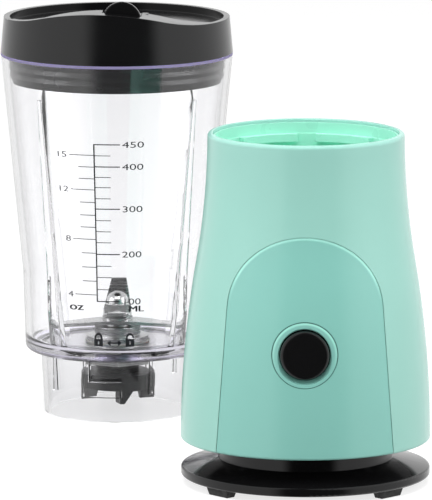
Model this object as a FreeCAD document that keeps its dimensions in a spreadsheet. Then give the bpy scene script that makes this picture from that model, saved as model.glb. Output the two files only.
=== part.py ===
import FreeCAD, Part
import math
import os
import Sketcher

# A single-serve blender: a motor base with a push button, and beside it the
# clear jar with its blade unit and its travel lid. Millimetres and degrees.
# The origin is on the table, under the middle of the pair. +Z is up and the
# button faces -Y.

DOC = FreeCAD.newDocument("SingleServeBlender")
SHEET = DOC.addObject("Spreadsheet::Sheet", "Sizes")

SIZES = {
    # Where the two halves stand
    "apart_across": 81.0,
    "apart_deep": 151.4,
    "jar_turn": 2.0,
    # Motor housing: a double-curved shell
    "shell_low": 18.0,
    "shell_top": 141.8,
    "rim_outer": 39.4,
    "shell_outer": 50.15,
    "curve_share": 0.42,
    "shell_wall": 2.2,
    "rim_round": 1.6,
    "rim_inner_round": 0.5,
    "foot_round": 1.0,
    "boss_angle": 30.0,
    "boss_place": 44.0,
    "boss_outer": 3.6,
    "boss_length": 15.0,
    "pilot_radius": 1.2,
    "boss_room": 0.45,
    # Front panel: an arch let into the housing
    "arch_round": 31.0,
    "arch_middle": 74.75,
    "arch_foot": 35.5,
    "panel_gap": 0.08,
    "panel_inset": 0.18,
    # Docking well and its bayonet ledge
    "well_inner": 35.6,
    "well_wall": 1.4,
    "well_floor": 112.5,
    "well_plate": 2.0,
    "well_hole": 9.0,
    "collar_inner": 36.2,
    "collar_top": 140.4,
    "ledge_top": 136.0,
    "ledge_plate": 3.2,
    "ledge_inner": 33.4,
    "entry_half": 41.0,
    "slot_half": 6.4,
    "rib_angle": 155.0,
    "rib_width": 1.6,
    "rib_sink": 0.4,
    "cut_over": 1.0,
    # Base plate, feet and screws
    "plate_low": 3.2,
    "plate_rim_top": 6.9,
    "plate_outer": 50.0,
    "plate_round": 0.9,
    "cone_inner": 35.0,
    "cone_top": 10.4,
    "plate_wall": 2.4,
    "deck_plate": 3.0,
    "deck_outer": 47.0,
    "deck_lift": 0.4,
    "vent_inner": 13.0,
    "vent_outer": 19.0,
    "vent_half": 6.0,
    "vent_count": 12,
    "foot_place": 45.4,
    "foot_angle": 43.4,
    "foot_width": 13.6,
    "foot_depth": 5.6,
    "foot_taper": 1.4,
    "foot_sink": 0.8,
    "backing_deep": 10.0,
    "backing_wide": 20.8,
    "screw_radius": 1.5,
    "screw_head": 2.8,
    "screw_head_tall": 1.8,
    "screw_room": 0.3,
    "screw_bite": 9.0,
    # Button, its ring, guide, spring and switch
    "button_tall": 59.7,
    "button_radius": 9.75,
    "button_room": 0.4,
    "button_sink": -1.2,
    "button_round": 1.4,
    "button_flange": 1.4,
    "flange_plate": 1.5,
    "flange_room": 0.3,
    "ring_outer": 13.1,
    "ring_deep": 3.6,
    "ring_dish": 1.7,
    "ring_shelf": 0.3,
    "ring_lip": 1.5,
    "stem_radius": 3.0,
    "stem_length": 4.2,
    "press": 2.5,
    "spring_radius": 4.3,
    "spring_wire": 0.4,
    "spring_room": 0.05,
    "spring_turns": 4.0,
    "guide_wall": 1.6,
    "guide_room": 0.4,
    "guide_plate": 1.5,
    "switch_wide": 18.0,
    "switch_tall": 10.0,
    "switch_deep": 6.0,
    "switch_wall": 0.6,
    "plunger_radius": 1.5,
    # Cord outlet in the back
    "outlet_tall": 31.0,
    "outlet_bore": 3.2,
    "outlet_sleeve": 5.2,
    "outlet_flange": 7.0,
    "outlet_plate": 1.6,
    "outlet_deep": 6.0,
    # Universal motor
    "shaft_radius": 3.0,
    "shaft_low": 23.2,
    "shaft_top": 118.5,
    "bush_outer": 5.5,
    "bush_fit": 0.03,
    "bearing_low": 24.6,
    "bearing_tall": 9.0,
    "frame_low": 26.0,
    "frame_plate": 3.0,
    "frame_outer": 29.0,
    "hub_outer": 8.5,
    "window_count": 4,
    "window_half": 30.0,
    "frame_top": 97.0,
    "top_bearing_tall": 10.0,
    "stack_low": 55.0,
    "stack_tall": 25.0,
    "yoke_outer": 27.0,
    "yoke_inner": 21.0,
    "pole_bite": 2.7,
    "pole_face": 16.3,
    "pole_shoe": 1.8,
    "shoe_half": 58.0,
    "neck_width": 16.0,
    "coil_half": 44.0,
    "coil_room": 0.3,
    "coil_over": 5.0,
    "armature_radius": 15.7,
    "slot_count": 12,
    "slot_width": 2.2,
    "slot_deep": 5.5,
    "winding_outer": 13.6,
    "winding_inner": 5.0,
    "winding_tall": 6.4,
    "winding_round": 2.4,
    "commutator_radius": 9.0,
    "commutator_low": 35.0,
    "commutator_tall": 11.0,
    "bar_gap": 0.6,
    "bar_deep": 1.2,
    "holder_wide": 8.0,
    "holder_tall": 7.0,
    "holder_wall": 1.0,
    "holder_inner": 10.0,
    "holder_outer": 24.0,
    "brush_room": 0.1,
    "brush_length": 9.0,
    "fan_low": 89.0,
    "fan_plate": 1.2,
    "fan_outer": 20.0,
    "fan_tall": 6.0,
    "fan_hub": 6.5,
    "fan_margin": 1.0,
    "blade_count": 9,
    "blade_plate": 1.2,
    "bolt_place": 24.0,
    "bolt_radius": 1.5,
    "bolt_room": 0.2,
    "bolt_head": 2.8,
    "bolt_head_tall": 2.0,
    "post_radius": 3.0,
    "mount_radius": 5.0,
    "mount_hole": 3.2,
    "slinger_outer": 8.0,
    "slinger_plate": 1.4,
    "slinger_low": 108.2,
    # Drive couplings: four dog teeth on each
    "dog_count": 4,
    "drive_disc_low": 115.5,
    "drive_disc_plate": 3.4,
    "drive_disc_radius": 14.0,
    "drive_hub": 6.0,
    "drive_hub_low": 110.0,
    "drive_boss_top": 120.5,
    "drive_teeth_top": 123.5,
    "dog_inner": 8.8,
    "dog_flank": 4.0,
    "dog_tip": -2.2,
    "driven_radius": 15.4,
    "driven_tooth": 5.2,
    "driven_skin": 0.7,
    "driven_disc_plate": 6.6,
    "driven_hub": 9.0,
    "driven_hub_tall": 2.2,
    "driven_room": 1.0,
    "driven_turn": 19.0,
    # Jar
    "skirt_low_outer": 31.15,
    "skirt_top_outer": 32.6,
    "skirt_wall": 2.0,
    "step_tall": 26.6,
    "corner_round": 3.0,
    "body_low_outer": 39.2,
    "bend_outer": 40.1,
    "bend_tall": 60.5,
    "mouth_outer": 49.1,
    "mouth_tall": 153.8,
    "jar_wall": 2.6,
    "floor_plate": 3.2,
    "inner_round": 4.0,
    "floor_hole": 10.0,
    "floor_boss": 14.0,
    "floor_boss_drop": 2.6,
    "flow_rib_low_radius": 3.6,
    "flow_rib_top_radius": 0.9,
    "flow_rib_top": 138.0,
    "lug_room": 0.2,
    "lug_tall": 6.4,
    "lug_outer": 34.6,
    "lug_angle": 28.0,
    "lug_start": -115.0,
    "lug_stem": 4.0,
    "key_low": 12.0,
    "key_outer": 33.7,
    "key_width": 1.2,
    "key_first": -144.0,
    "key_second": -66.0,
    # Blade unit
    "gasket_plate": 0.8,
    "gasket_outer": 13.6,
    "hub_flange": 13.2,
    "hub_flange_plate": 1.8,
    "hub_tube": 9.7,
    "hub_rise": 9.8,
    "hub_drop": 6.6,
    "blade_bush_tall": 6.0,
    "nut_flats": 13.6,
    "nut_plate": 3.0,
    "blade_shaft_over": 8.2,
    "washer_outer": 6.4,
    "washer_plate": 0.6,
    "knife_plate": 1.5,
    "knife_root": 8.0,
    "knife_reach": 27.0,
    "knife_half_width": 6.0,
    "knife_tip_half": 2.2,
    "knife_skew": 1.5,
    "knife_rise": 11.0,
    "knife_fall": 1.6,
    "cross_reach": 24.0,
    "cross_rise": 4.0,
    "spacer_plate": 1.6,
    "cap_nut_flats": 5.4,
    "cap_nut_tall": 4.2,
    "cap_dome_inset": 0.4,
    # Travel lid and its sip flap
    "lid_tall": 15.0,
    "lid_top_outer": 47.7,
    "lid_wall": 2.3,
    "wave_tall": 6.2,
    "wave_peak": -7.0,
    "wave_right": 43.0,
    "wave_left": -52.0,
    "wave_share": 0.56,
    "wave_back": 15.5,
    "dish_deep": 3.2,
    "dish_plate": 2.5,
    "plug_deep": 12.0,
    "plug_wall": 2.2,
    "plug_room": 1.3,
    "seal_room": 0.3,
    "seal_count": 3,
    "seal_foot": 1.4,
    "deck_line": 29.0,
    "deck_slant": 0.2,
    "deck_reach": 60.0,
    "tab_across": 3.5,
    "tab_wide": 15.8,
    "tab_tall": 6.3,
    "tab_round": 8.1,
    "tab_plate": 2.0,
    "tab_depth": 39.0,
    "flap_plate": 1.4,
    "flap_room": 0.3,
    "flap_sink": 0.2,
    "hinge_depth": 26.6,
    "barrel_radius": 1.6,
    "pin_radius": 0.8,
    "pin_fit": 0.05,
    "pin_bite": 2.2,
    "sip_radius": 3.2,
    "sip_room": 0.7,
    "sip_depth": 34.0,
    "plug_tip_deep": 3.0,
}


class Size:
    """A number together with the formula that gives it from the sheet."""

    def __init__(self, number, formula):
        self.number = float(number)
        self.formula = formula

    def joined(self, sign, other, number):
        return Size(number, "(%s %s %s)" % (self.formula, sign, formula_of(other)))

    def __add__(self, other):
        return self.joined("+", other, self.number + number_of(other))

    def __sub__(self, other):
        return self.joined("-", other, self.number - number_of(other))

    def __mul__(self, other):
        return self.joined("*", other, self.number * number_of(other))

    def __truediv__(self, other):
        return self.joined("/", other, self.number / number_of(other))

    def __rsub__(self, other):
        return Size(other, formula_of(other)) - self

    def __neg__(self):
        return Size(-self.number, "(-1 * %s)" % self.formula)

    __radd__ = __add__
    __rmul__ = __mul__


def number_of(size):
    return size.number if isinstance(size, Size) else float(size)


def formula_of(size):
    return size.formula if isinstance(size, Size) else "%g" % size


def sine(angle):
    return Size(math.sin(math.radians(number_of(angle))), "sin(%s)" % formula_of(angle))


def cosine(angle):
    return Size(math.cos(math.radians(number_of(angle))), "cos(%s)" % formula_of(angle))


def slope_angle(rise, run):
    """The angle whose tangent is rise over run."""
    share = rise / run
    return Size(math.degrees(math.atan(number_of(share))), "atan(%s)" % formula_of(share))


def root(size):
    return Size(math.sqrt(number_of(size)), "sqrt(%s)" % formula_of(size))


class Sizes:
    """The sheet's cells by name, each as a Size."""


def fill_sheet():
    sizes = Sizes()
    row = 1
    for alias, number in SIZES.items():
        SHEET.set("A%d" % row, alias)
        SHEET.set("B%d" % row, "%g" % number)
        SHEET.setAlias("B%d" % row, alias)
        setattr(sizes, alias, Size(number, "Sizes." + alias))
        row += 1
    DOC.recompute()
    return sizes


S = fill_sheet()
PIECES = []


# ---------------------------------------------------------------- helpers

def bind(item, name, size):
    """Set a property, and tie it to the sheet if its size comes from there."""
    if isinstance(size, Size):
        item.setExpression(name, size.formula)
    else:
        setattr(item, name, size)


def put(item, x=0, y=0, z=0, axis=None, angle=0):
    """Place an item; the parts of the placement that come from the sheet stay tied to it."""
    turn = FreeCAD.Rotation()
    if axis:
        turn = FreeCAD.Rotation(FreeCAD.Vector(*axis), number_of(angle))
    spot = FreeCAD.Vector(number_of(x), number_of(y), number_of(z))
    item.Placement = FreeCAD.Placement(spot, turn)
    for letter, size in (("x", x), ("y", y), ("z", z)):
        if isinstance(size, Size):
            item.setExpression(".Placement.Base." + letter, size.formula)
    if isinstance(angle, Size):
        item.setExpression(".Placement.Rotation.Angle", angle.formula)
    return item


def solid(kind, name, sizes, x=0, y=0, z=0, axis=None, angle=0):
    """A Part primitive with its sizes and its place."""
    item = DOC.addObject("Part::" + kind, name)
    for prop, size in sizes.items():
        bind(item, prop, size)
    return put(item, x, y, z, axis, angle)


def rod(name, radius, height, x=0, y=0, z=0, axis=None, angle=0):
    return solid("Cylinder", name, {"Radius": radius, "Height": height}, x, y, z, axis, angle)


def block(name, across, deep, tall, x=0, y=0, z=0, axis=None, angle=0):
    """A box centred on x and y, standing on z."""
    box = solid("Box", name, {"Length": across, "Width": deep, "Height": tall})
    return put(box, x - across / 2, y - deep / 2, z, axis, angle)


def cut(name, base, tool):
    item = DOC.addObject("Part::Cut", name)
    item.Base = base
    item.Tool = tool
    return item


def fuse(name, items):
    item = DOC.addObject("Part::MultiFuse", name)
    item.Shapes = items
    return item


def common(name, items):
    item = DOC.addObject("Part::MultiCommon", name)
    item.Shapes = items
    return item


def together(name, items):
    item = DOC.addObject("Part::Compound", name)
    item.Links = items
    return item


def new_body(name):
    return DOC.addObject("PartDesign::Body", name)


def datum(body, role):
    return next(item for item in body.Origin.OriginFeatures if item.Role == role)


def arc_edge(start, end, radius, bend):
    """An arc from start to end; bend is 1 if its centre lies to the left of the way."""
    chord = end - start
    reach = math.sqrt(max(radius ** 2 - (chord.Length / 2) ** 2, 0))
    left = FreeCAD.Vector(-chord.y, chord.x, 0).normalize()
    centre = (start + end) * 0.5 + left * (reach * bend)
    first = math.atan2(start.y - centre.y, start.x - centre.x)
    last = math.atan2(end.y - centre.y, end.x - centre.x)
    circle = Part.Circle(centre, FreeCAD.Vector(0, 0, 1), radius)
    if bend > 0:
        return Part.ArcOfCircle(circle, first, last)
    return Part.ArcOfCircle(circle, last, first)


def draw_loop(sketch, corners):
    """A closed loop. A corner is (x, y), or (x, y, radius, bend) where an arc leaves it."""
    first = sketch.GeometryCount
    edges = []
    starts = []
    for here, there in zip(corners, corners[1:] + corners[:1]):
        start = FreeCAD.Vector(number_of(here[0]), number_of(here[1]), 0)
        end = FreeCAD.Vector(number_of(there[0]), number_of(there[1]), 0)
        if len(here) == 2:
            edges.append(Part.LineSegment(start, end))
            starts.append(1)
        else:
            edges.append(arc_edge(start, end, number_of(here[2]), here[3]))
            starts.append(1 if here[3] > 0 else 2)
    sketch.addGeometry(edges, False)
    rules = []
    ties = []
    for place, here in enumerate(corners):
        edge = first + place
        after = (place + 1) % len(corners)
        rules.append(Sketcher.Constraint("Coincident", edge, 3 - starts[place],
                                         first + after, starts[after]))
        if len(here) == 4:
            rules.append(Sketcher.Constraint("Radius", edge, number_of(here[2])))
            ties.append((len(rules) - 1, here[2]))
        for kind, line, size in (("DistanceX", -2, here[0]), ("DistanceY", -1, here[1])):
            if isinstance(size, Size):
                rules.append(Sketcher.Constraint(kind, -1, 1, edge, starts[place], size.number))
                ties.append((len(rules) - 1, size))
            else:
                rules.append(Sketcher.Constraint("PointOnObject", edge, starts[place], line))
    offset = sketch.ConstraintCount
    sketch.addConstraint(rules)
    for index, size in ties:
        if isinstance(size, Size):
            sketch.setExpression("Constraints[%d]" % (offset + index), size.formula)


def draw_circle(sketch, x, y, radius):
    centre = FreeCAD.Vector(number_of(x), number_of(y), 0)
    edge = sketch.addGeometry(Part.Circle(centre, FreeCAD.Vector(0, 0, 1), number_of(radius)), False)
    first = sketch.ConstraintCount
    sketch.addConstraint(Sketcher.Constraint("Radius", edge, number_of(radius)))
    bind_rule(sketch, first, radius)
    for kind, line, size in (("DistanceX", -2, x), ("DistanceY", -1, y)):
        if isinstance(size, Size):
            index = sketch.addConstraint(Sketcher.Constraint(kind, -1, 1, edge, 3, size.number))
            bind_rule(sketch, index, size)
        else:
            sketch.addConstraint(Sketcher.Constraint("PointOnObject", edge, 3, line))


def bind_rule(sketch, index, size):
    if isinstance(size, Size):
        sketch.setExpression("Constraints[%d]" % index, size.formula)


def sketch_on(body, role, name, lift=0):
    """An empty sketch on one of the body's own planes, lifted along its normal."""
    sketch = body.newObject("Sketcher::SketchObject", name)
    sketch.AttachmentSupport = (datum(body, role), "")
    sketch.MapMode = "FlatFace"
    if isinstance(lift, Size):
        sketch.setExpression(".AttachmentOffset.Base.z", lift.formula)
    return sketch


def turned(name, corners, role="XZ_Plane"):
    """A body turned about the second axis of its sketch plane."""
    body = new_body(name)
    sketch = sketch_on(body, role, "Profile")
    draw_loop(sketch, corners)
    turn = body.newObject("PartDesign::Revolution", "Turned")
    turn.Profile = sketch
    turn.ReferenceAxis = (sketch, ["V_Axis"])
    turn.Angle = 360
    body.Tip = turn
    return body


def pad(body, sketch, length, name, back=False, both=False):
    item = body.newObject("PartDesign::Pad", name)
    item.Profile = sketch
    bind(item, "Length", length)
    item.Reversed = back
    item.Midplane = both
    body.Tip = item
    return item


def pocket(body, sketch, length, name, along=False, both=False):
    """Cut against the sketch's normal, or along it."""
    item = body.newObject("PartDesign::Pocket", name)
    item.Profile = sketch
    bind(item, "Length", length)
    item.Reversed = along
    item.Midplane = both
    body.Tip = item
    return item


def around(body, feature, count, name):
    item = body.newObject("PartDesign::PolarPattern", name)
    item.Originals = [feature]
    item.Axis = (datum(body, "Z_Axis"), [""])
    item.Angle = 360
    bind(item, "Occurrences", count)
    body.Tip = item
    return item


def ring(inner, outer, low, top):
    """The section of a plain ring."""
    return [(inner, low), (outer, low), (outer, top), (inner, top)]


def sector(inner, outer, middle, half):
    """A ring's sector between two angles about middle, in plan."""
    first, last = middle - half, middle + half
    return [(outer * cosine(first), outer * sine(first), outer, 1),
            (outer * cosine(last), outer * sine(last)),
            (inner * cosine(last), inner * sine(last), inner, -1),
            (inner * cosine(first), inner * sine(first))]


def hexagon(flats):
    """A hexagon's corners, given half the width across its flats."""
    reach = flats / math.cos(math.radians(30))
    return [(reach * math.cos(math.radians(60 * k + 30)) if k not in (1, 4) else 0,
             reach * math.sin(math.radians(60 * k + 30))) for k in range(6)]


def finish(item, label, stand, lift=0):
    """Name a piece, stand it at the base's or the jar's axis, and list it."""
    item.Label = label
    x, y = stand
    put(item, x, y, lift)
    PIECES.append(item)
    return item


# The two halves' outer edges are equally far from the origin.
BASE = ((S.apart_across + S.mouth_outer - S.shell_outer) / 2,
        (S.shell_outer - S.mouth_outer - S.apart_deep) / 2)
JAR = ((S.mouth_outer - S.shell_outer - S.apart_across) / 2,
       (S.apart_deep + S.shell_outer - S.mouth_outer) / 2)


HALF_TURN = 180


# ---------------------------------------------------------------- housing curve

# The wall is upright at its top and its bottom. Two arcs of one angle join in
# between; half that angle has the tangent below.
HALF_TANGENT = (S.shell_outer - S.rim_outer) / (S.shell_top - S.shell_low)
CURVE_COS = (1 - HALF_TANGENT * HALF_TANGENT) / (1 + HALF_TANGENT * HALF_TANGENT)
CURVE_SIN = 2 * HALF_TANGENT / (1 + HALF_TANGENT * HALF_TANGENT)
UPPER_ARC = (S.shell_top - S.shell_low) * S.curve_share / CURVE_SIN
LOWER_ARC = (S.shell_top - S.shell_low) * (1 - S.curve_share) / CURVE_SIN


def curve_point(inset):
    """Where the two arcs meet, on the surface that lies inset inside the outer one."""
    out = S.shell_outer - LOWER_ARC + (LOWER_ARC - inset) * CURVE_COS
    up = S.shell_low + (LOWER_ARC - inset) * CURVE_SIN
    return out, up


def shell_radius(tall, inset=0):
    """The housing's radius at a height on its lower arc."""
    rise = tall - S.shell_low
    reach = LOWER_ARC - inset
    return S.shell_outer - LOWER_ARC + root(reach * reach - rise * rise)


def shell_wall_corners(inset, wall):
    """The section of a wall that follows the curve, with its outer edges rounded."""
    outside = curve_point(inset)
    inside = curve_point(inset + wall)
    edge = S.foot_round
    lip = S.rim_round
    lip_in = S.rim_inner_round
    rim = S.rim_outer - inset
    foot = S.shell_outer - inset
    return [
        (foot - edge, S.shell_low, edge, 1),
        (foot, S.shell_low + edge, LOWER_ARC - inset, 1),
        (outside[0], outside[1], UPPER_ARC + inset, -1),
        (rim, S.shell_top - lip, lip, 1), (rim - lip, S.shell_top),
        (rim - wall + lip_in, S.shell_top, lip_in, 1),
        (rim - wall, S.shell_top - lip_in, UPPER_ARC + inset + wall, 1),
        (inside[0], inside[1], LOWER_ARC - inset - wall, -1),
        (foot - wall, S.shell_low),
    ]


def arch_prism(name, margin):
    """The arch seen from the front, as a block that reaches forward from the axis."""
    body = new_body(name)
    sketch = sketch_on(body, "XZ_Plane", "Arch")
    radius = S.arch_round - margin
    foot = S.arch_foot - margin
    low = S.shell_low - S.deck_plate
    drop = S.arch_middle - low
    # The straight side touches the round head at this angle above its middle.
    side = root(foot * foot + drop * drop - radius * radius)
    span = foot * foot + drop * drop
    touch_x = (radius * radius * foot + radius * drop * side) / span
    touch_z = S.arch_middle - (radius * radius * drop - radius * foot * side) / span
    draw_loop(sketch, [(foot, low), (touch_x, touch_z, radius, 1), (-touch_x, touch_z), (-foot, low)])
    pad(body, sketch, S.shell_outer + S.shell_wall, "ArchPad")
    return body


# ---------------------------------------------------------------- base pieces

def screw_spots(place):
    """Four places at the boss angle to each side, as x and y."""
    spots = []
    for side in (1, -1):
        for front in (1, -1):
            spots.append((place * cosine(S.boss_angle) * side, place * sine(S.boss_angle) * front))
    return spots


def diagonal_spots(place):
    """Four places on the diagonals."""
    reach = place * math.sqrt(0.5)
    return [(reach * side, reach * front) for side in (1, -1) for front in (1, -1)]


DECK_LOW = S.shell_low + S.deck_lift
DECK_TOP = DECK_LOW + S.deck_plate


def make_housing():
    wall = turned("HousingWall", shell_wall_corners(0, S.shell_wall))
    opened = cut("HousingOpened", wall, arch_prism("HousingArch", 0))
    foot = DECK_TOP + S.screw_room
    bosses = [rod("HousingBoss", S.boss_outer, S.boss_length, x, y, foot)
              for x, y in screw_spots(S.boss_place)]
    joined = fuse("HousingJoined", [opened] + bosses)
    holes = [rod("HousingPilot", S.pilot_radius + S.boss_room, S.boss_length, x, y,
                 foot - S.screw_room)
             for x, y in screw_spots(S.boss_place)]
    outlet = rod("HousingOutlet", S.outlet_sleeve + S.screw_room / 2, S.shell_outer, 0, 0,
                 S.outlet_tall, (1, 0, 0), -90)
    holed = cut("HousingHoled", joined, fuse("HousingHoles", holes + [outlet]))
    finish(holed, "housing", BASE)


def make_front_panel():
    wall = turned("PanelWall", shell_wall_corners(S.panel_inset, S.shell_wall))
    arch = common("PanelArch", [wall, arch_prism("PanelPrism", S.panel_gap)])
    hole = rod("PanelHole", S.ring_outer + S.panel_gap, S.shell_outer * 2, 0, 0, S.button_tall,
               (1, 0, 0), 90)
    finish(cut("PanelHoled", arch, hole), "front_panel", BASE)


def make_docking_well():
    outer = S.well_inner + S.well_wall
    body = turned("DockingWell", [
        (S.well_hole, S.well_floor - S.well_plate), (outer, S.well_floor - S.well_plate),
        (outer, S.collar_top), (S.collar_inner, S.collar_top), (S.collar_inner, S.ledge_top),
        (S.ledge_inner, S.ledge_top),
        (S.ledge_inner, S.ledge_top - S.ledge_plate), (S.well_inner, S.ledge_top - S.ledge_plate),
        (S.well_inner, S.well_floor), (S.well_hole, S.well_floor)])
    for title, half, first in (("Entry", S.entry_half, 0), ("Slot", S.slot_half, 90)):
        plan = sketch_on(body, "XY_Plane", title + "Plan", S.ledge_top)
        draw_loop(plan, sector(S.ledge_inner - S.cut_over, S.well_inner,
                               Size(first, "%g" % first), half))
        opening = pocket(body, plan, S.ledge_plate, title)
        around(body, opening, 2, title + "Pair")
    ribs = []
    for turn in (0, HALF_TURN):
        angle = S.rib_angle + turn
        place = S.well_inner + S.rib_sink - (S.well_inner - S.ledge_inner)
        rib = solid("Box", "WellRib", {"Length": S.well_inner - S.ledge_inner, "Width": S.rib_width,
                                       "Height": S.ledge_top - S.well_floor + S.well_plate / 2})
        put(rib, place * cosine(angle), place * sine(angle), S.well_floor - S.well_plate / 2,
            (0, 0, 1), angle)
        ribs.append(rib)
    finish(fuse("WellRibbed", [body] + ribs), "docking_well", BASE)


def make_base_plate():
    wall = S.plate_wall
    body = turned("BasePlate", [
        (0, DECK_LOW), (S.cone_inner - wall, DECK_LOW), (S.cone_inner - wall, S.cone_top - wall),
        (S.plate_outer - wall, S.plate_rim_top - wall), (S.plate_outer - wall, S.plate_low),
        (S.plate_outer - S.plate_round, S.plate_low, S.plate_round, 1),
        (S.plate_outer, S.plate_low + S.plate_round),
        (S.plate_outer, S.plate_rim_top - S.plate_round, S.plate_round, 1),
        (S.plate_outer - S.plate_round, S.plate_rim_top),
        (S.cone_inner, S.cone_top), (S.cone_inner, DECK_LOW), (S.deck_outer, DECK_LOW),
        (S.deck_outer, DECK_TOP), (0, DECK_TOP)])
    plan = sketch_on(body, "XY_Plane", "VentPlan", DECK_TOP)
    draw_loop(plan, sector(S.vent_inner, S.vent_outer, Size(0, "0"), S.vent_half))
    around(body, pocket(body, plan, S.deck_plate, "Vent"), S.vent_count, "Vents")
    holes = []
    for x, y in screw_spots(S.boss_place):
        holes.append(rod("PlateHole", S.screw_radius + S.screw_room, S.deck_plate * 2, x, y,
                         DECK_LOW - S.deck_plate / 2))
        holes.append(rod("PlateSink", S.screw_head + S.screw_room, S.screw_head_tall + S.deck_lift, x, y,
                         DECK_LOW - S.deck_lift))
    rooms = [block("FootRoom", S.foot_width, S.foot_depth, S.foot_sink + S.plate_low, 0, 0, 0)
             for _ in range(4)]
    seats = together("FootSeats", [foot_turned(room, k) for k, room in enumerate(rooms)])
    backing = common("FootBacking", [
        solid_ring("FootBackRing", S.plate_outer - S.backing_deep, S.plate_outer - wall / 2,
                   S.plate_low, S.plate_low + wall),
        together("FootBackBlocks", [foot_turned(block("FootBack", S.backing_wide, S.backing_deep,
                                                      S.plate_rim_top, 0, 0, 0), k) for k in range(4)])])
    whole = fuse("PlateBacked", [body, backing])
    finish(cut("PlateHoled", whole, fuse("PlateHoles", holes + [seats])), "base_plate", BASE)


def solid_ring(name, inner, outer, low, top):
    return turned(name, ring(inner, outer, low, top))


def foot_turned(item, index):
    """Move a block that is centred on the axis out to one of the four feet."""
    side, front = ((1, 1), (-1, 1), (-1, -1), (1, -1))[index]
    holder = together("FootHolder", [item])
    return put(holder, S.foot_place * cosine(S.foot_angle) * side,
               S.foot_place * sine(S.foot_angle) * front, 0, (0, 0, 1),
               (S.foot_angle - 90) * (side * front))


def make_foot_pads():
    pads = []
    for index in range(4):
        tall = S.plate_low + S.foot_sink
        half = (S.foot_width - S.screw_room) / 2
        deep = (S.foot_depth - S.screw_room) / 2
        wedge = solid("Wedge", "FootWedge", {
            "Xmin": S.foot_taper - half, "Xmax": half - S.foot_taper, "Ymin": 0, "Ymax": tall,
            "Zmin": S.foot_taper / 2 - deep, "Zmax": deep - S.foot_taper / 2,
            "X2min": -half, "X2max": half, "Z2min": -deep, "Z2max": deep}, axis=(1, 0, 0), angle=90)
        pads.append(foot_turned(wedge, index))
    finish(together("FootPads", pads), "foot_pads", BASE)


def make_plate_screws():
    screws = []
    head_low = DECK_LOW + S.screw_room / 3
    for x, y in screw_spots(S.boss_place):
        head = rod("PlateScrewHead", S.screw_head, S.screw_head_tall - S.screw_room, x, y, head_low)
        shank = rod("PlateScrewShank", S.screw_radius, S.deck_plate + S.screw_bite, x, y, head_low)
        screws.append(fuse("PlateScrew", [head, shank]))
    finish(together("PlateScrews", screws), "plate_screws", BASE)


def make_cord_outlet():
    surface = shell_radius(S.outlet_tall)
    outer = surface + S.outlet_plate
    inner = surface - S.outlet_deep
    step = S.shell_outer + S.screw_room / 3
    body = turned("CordOutlet", [
        (S.outlet_bore, inner), (S.outlet_sleeve, inner), (S.outlet_sleeve, step),
        (S.outlet_flange, step), (S.outlet_flange, outer - S.outlet_plate / 2),
        (S.outlet_flange - S.outlet_plate / 2, outer), (S.outlet_bore, outer)], "XY_Plane")
    finish(body, "cord_gland", BASE, S.outlet_tall)


# The button works along Y. These are distances forward of the axis.
BUTTON_SURFACE = shell_radius(S.button_tall, S.panel_inset)
BUTTON_FACE = BUTTON_SURFACE - S.button_sink
RING_BACK = BUTTON_SURFACE - S.ring_deep
FLANGE_FRONT = RING_BACK - S.flange_room
FLANGE_BACK = FLANGE_FRONT - S.flange_plate
STEM_END = FLANGE_BACK - S.stem_length
SWITCH_FRONT = STEM_END - S.press - S.guide_room
SWITCH_BACK = SWITCH_FRONT - S.switch_deep
GUIDE_INNER = S.button_radius + S.button_flange + S.guide_room
GUIDE_BACK = SWITCH_BACK - S.guide_plate


def make_button_ring():
    outer = rod("RingOuter", S.ring_outer, S.ring_deep * 2, 0, -RING_BACK, S.button_tall, (1, 0, 0), 90)
    bore = rod("RingBore", S.button_radius + S.button_room, S.ring_deep * 2, 0, -RING_BACK,
               S.button_tall, (1, 0, 0), 90)
    outside = curve_point(S.panel_inset)
    shape = turned("RingForm", [
        (0, S.shell_low), (S.shell_outer - S.panel_inset, S.shell_low, LOWER_ARC - S.panel_inset, 1),
        (outside[0], outside[1]), (0, outside[1])])
    lip = S.ring_outer - S.ring_lip
    dish = solid("Cone", "RingDish", {
        "Radius1": S.button_radius + S.button_room, "Radius2": lip, "Height": S.ring_dish - S.ring_shelf},
        0, S.ring_dish - BUTTON_SURFACE, S.button_tall, (1, 0, 0), 90)
    mouth = rod("RingMouth", lip, S.ring_deep * 2, 0, S.ring_shelf - BUTTON_SURFACE, S.button_tall,
                (1, 0, 0), 90)
    whole = common("RingWhole", [outer, shape])
    finish(cut("RingDished", whole, fuse("RingCuts", [bore, dish, mouth])), "button_ring", BASE)


def make_button():
    body = turned("Button", [
        (0, -BUTTON_FACE), (S.button_radius - S.button_round, -BUTTON_FACE, S.button_round, 1),
        (S.button_radius, S.button_round - BUTTON_FACE), (S.button_radius, -FLANGE_FRONT),
        (S.button_radius + S.button_flange, -FLANGE_FRONT),
        (S.button_radius + S.button_flange, -FLANGE_BACK), (S.stem_radius, -FLANGE_BACK),
        (S.stem_radius, -STEM_END), (0, -STEM_END)], "XY_Plane")
    finish(body, "button", BASE, S.button_tall)


def make_switch_plunger():
    tip = SWITCH_BACK + S.switch_wall + S.press + S.guide_room
    body = turned("Plunger", [(0, -STEM_END), (S.plunger_radius, -STEM_END),
                              (S.plunger_radius, -tip), (0, -tip)], "XY_Plane")
    finish(body, "switch_plunger", BASE, S.button_tall)


def make_switch():
    case = block("SwitchCase", S.switch_wide, S.switch_deep, S.switch_tall, 0,
                 -(SWITCH_FRONT + SWITCH_BACK) / 2, -S.switch_tall / 2)
    bore = rod("SwitchBore", S.plunger_radius + S.guide_room, S.switch_deep, 0,
               -SWITCH_BACK - S.switch_wall, 0, (1, 0, 0), 90)
    finish(cut("SwitchBored", case, bore), "switch", BASE, S.button_tall)


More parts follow.
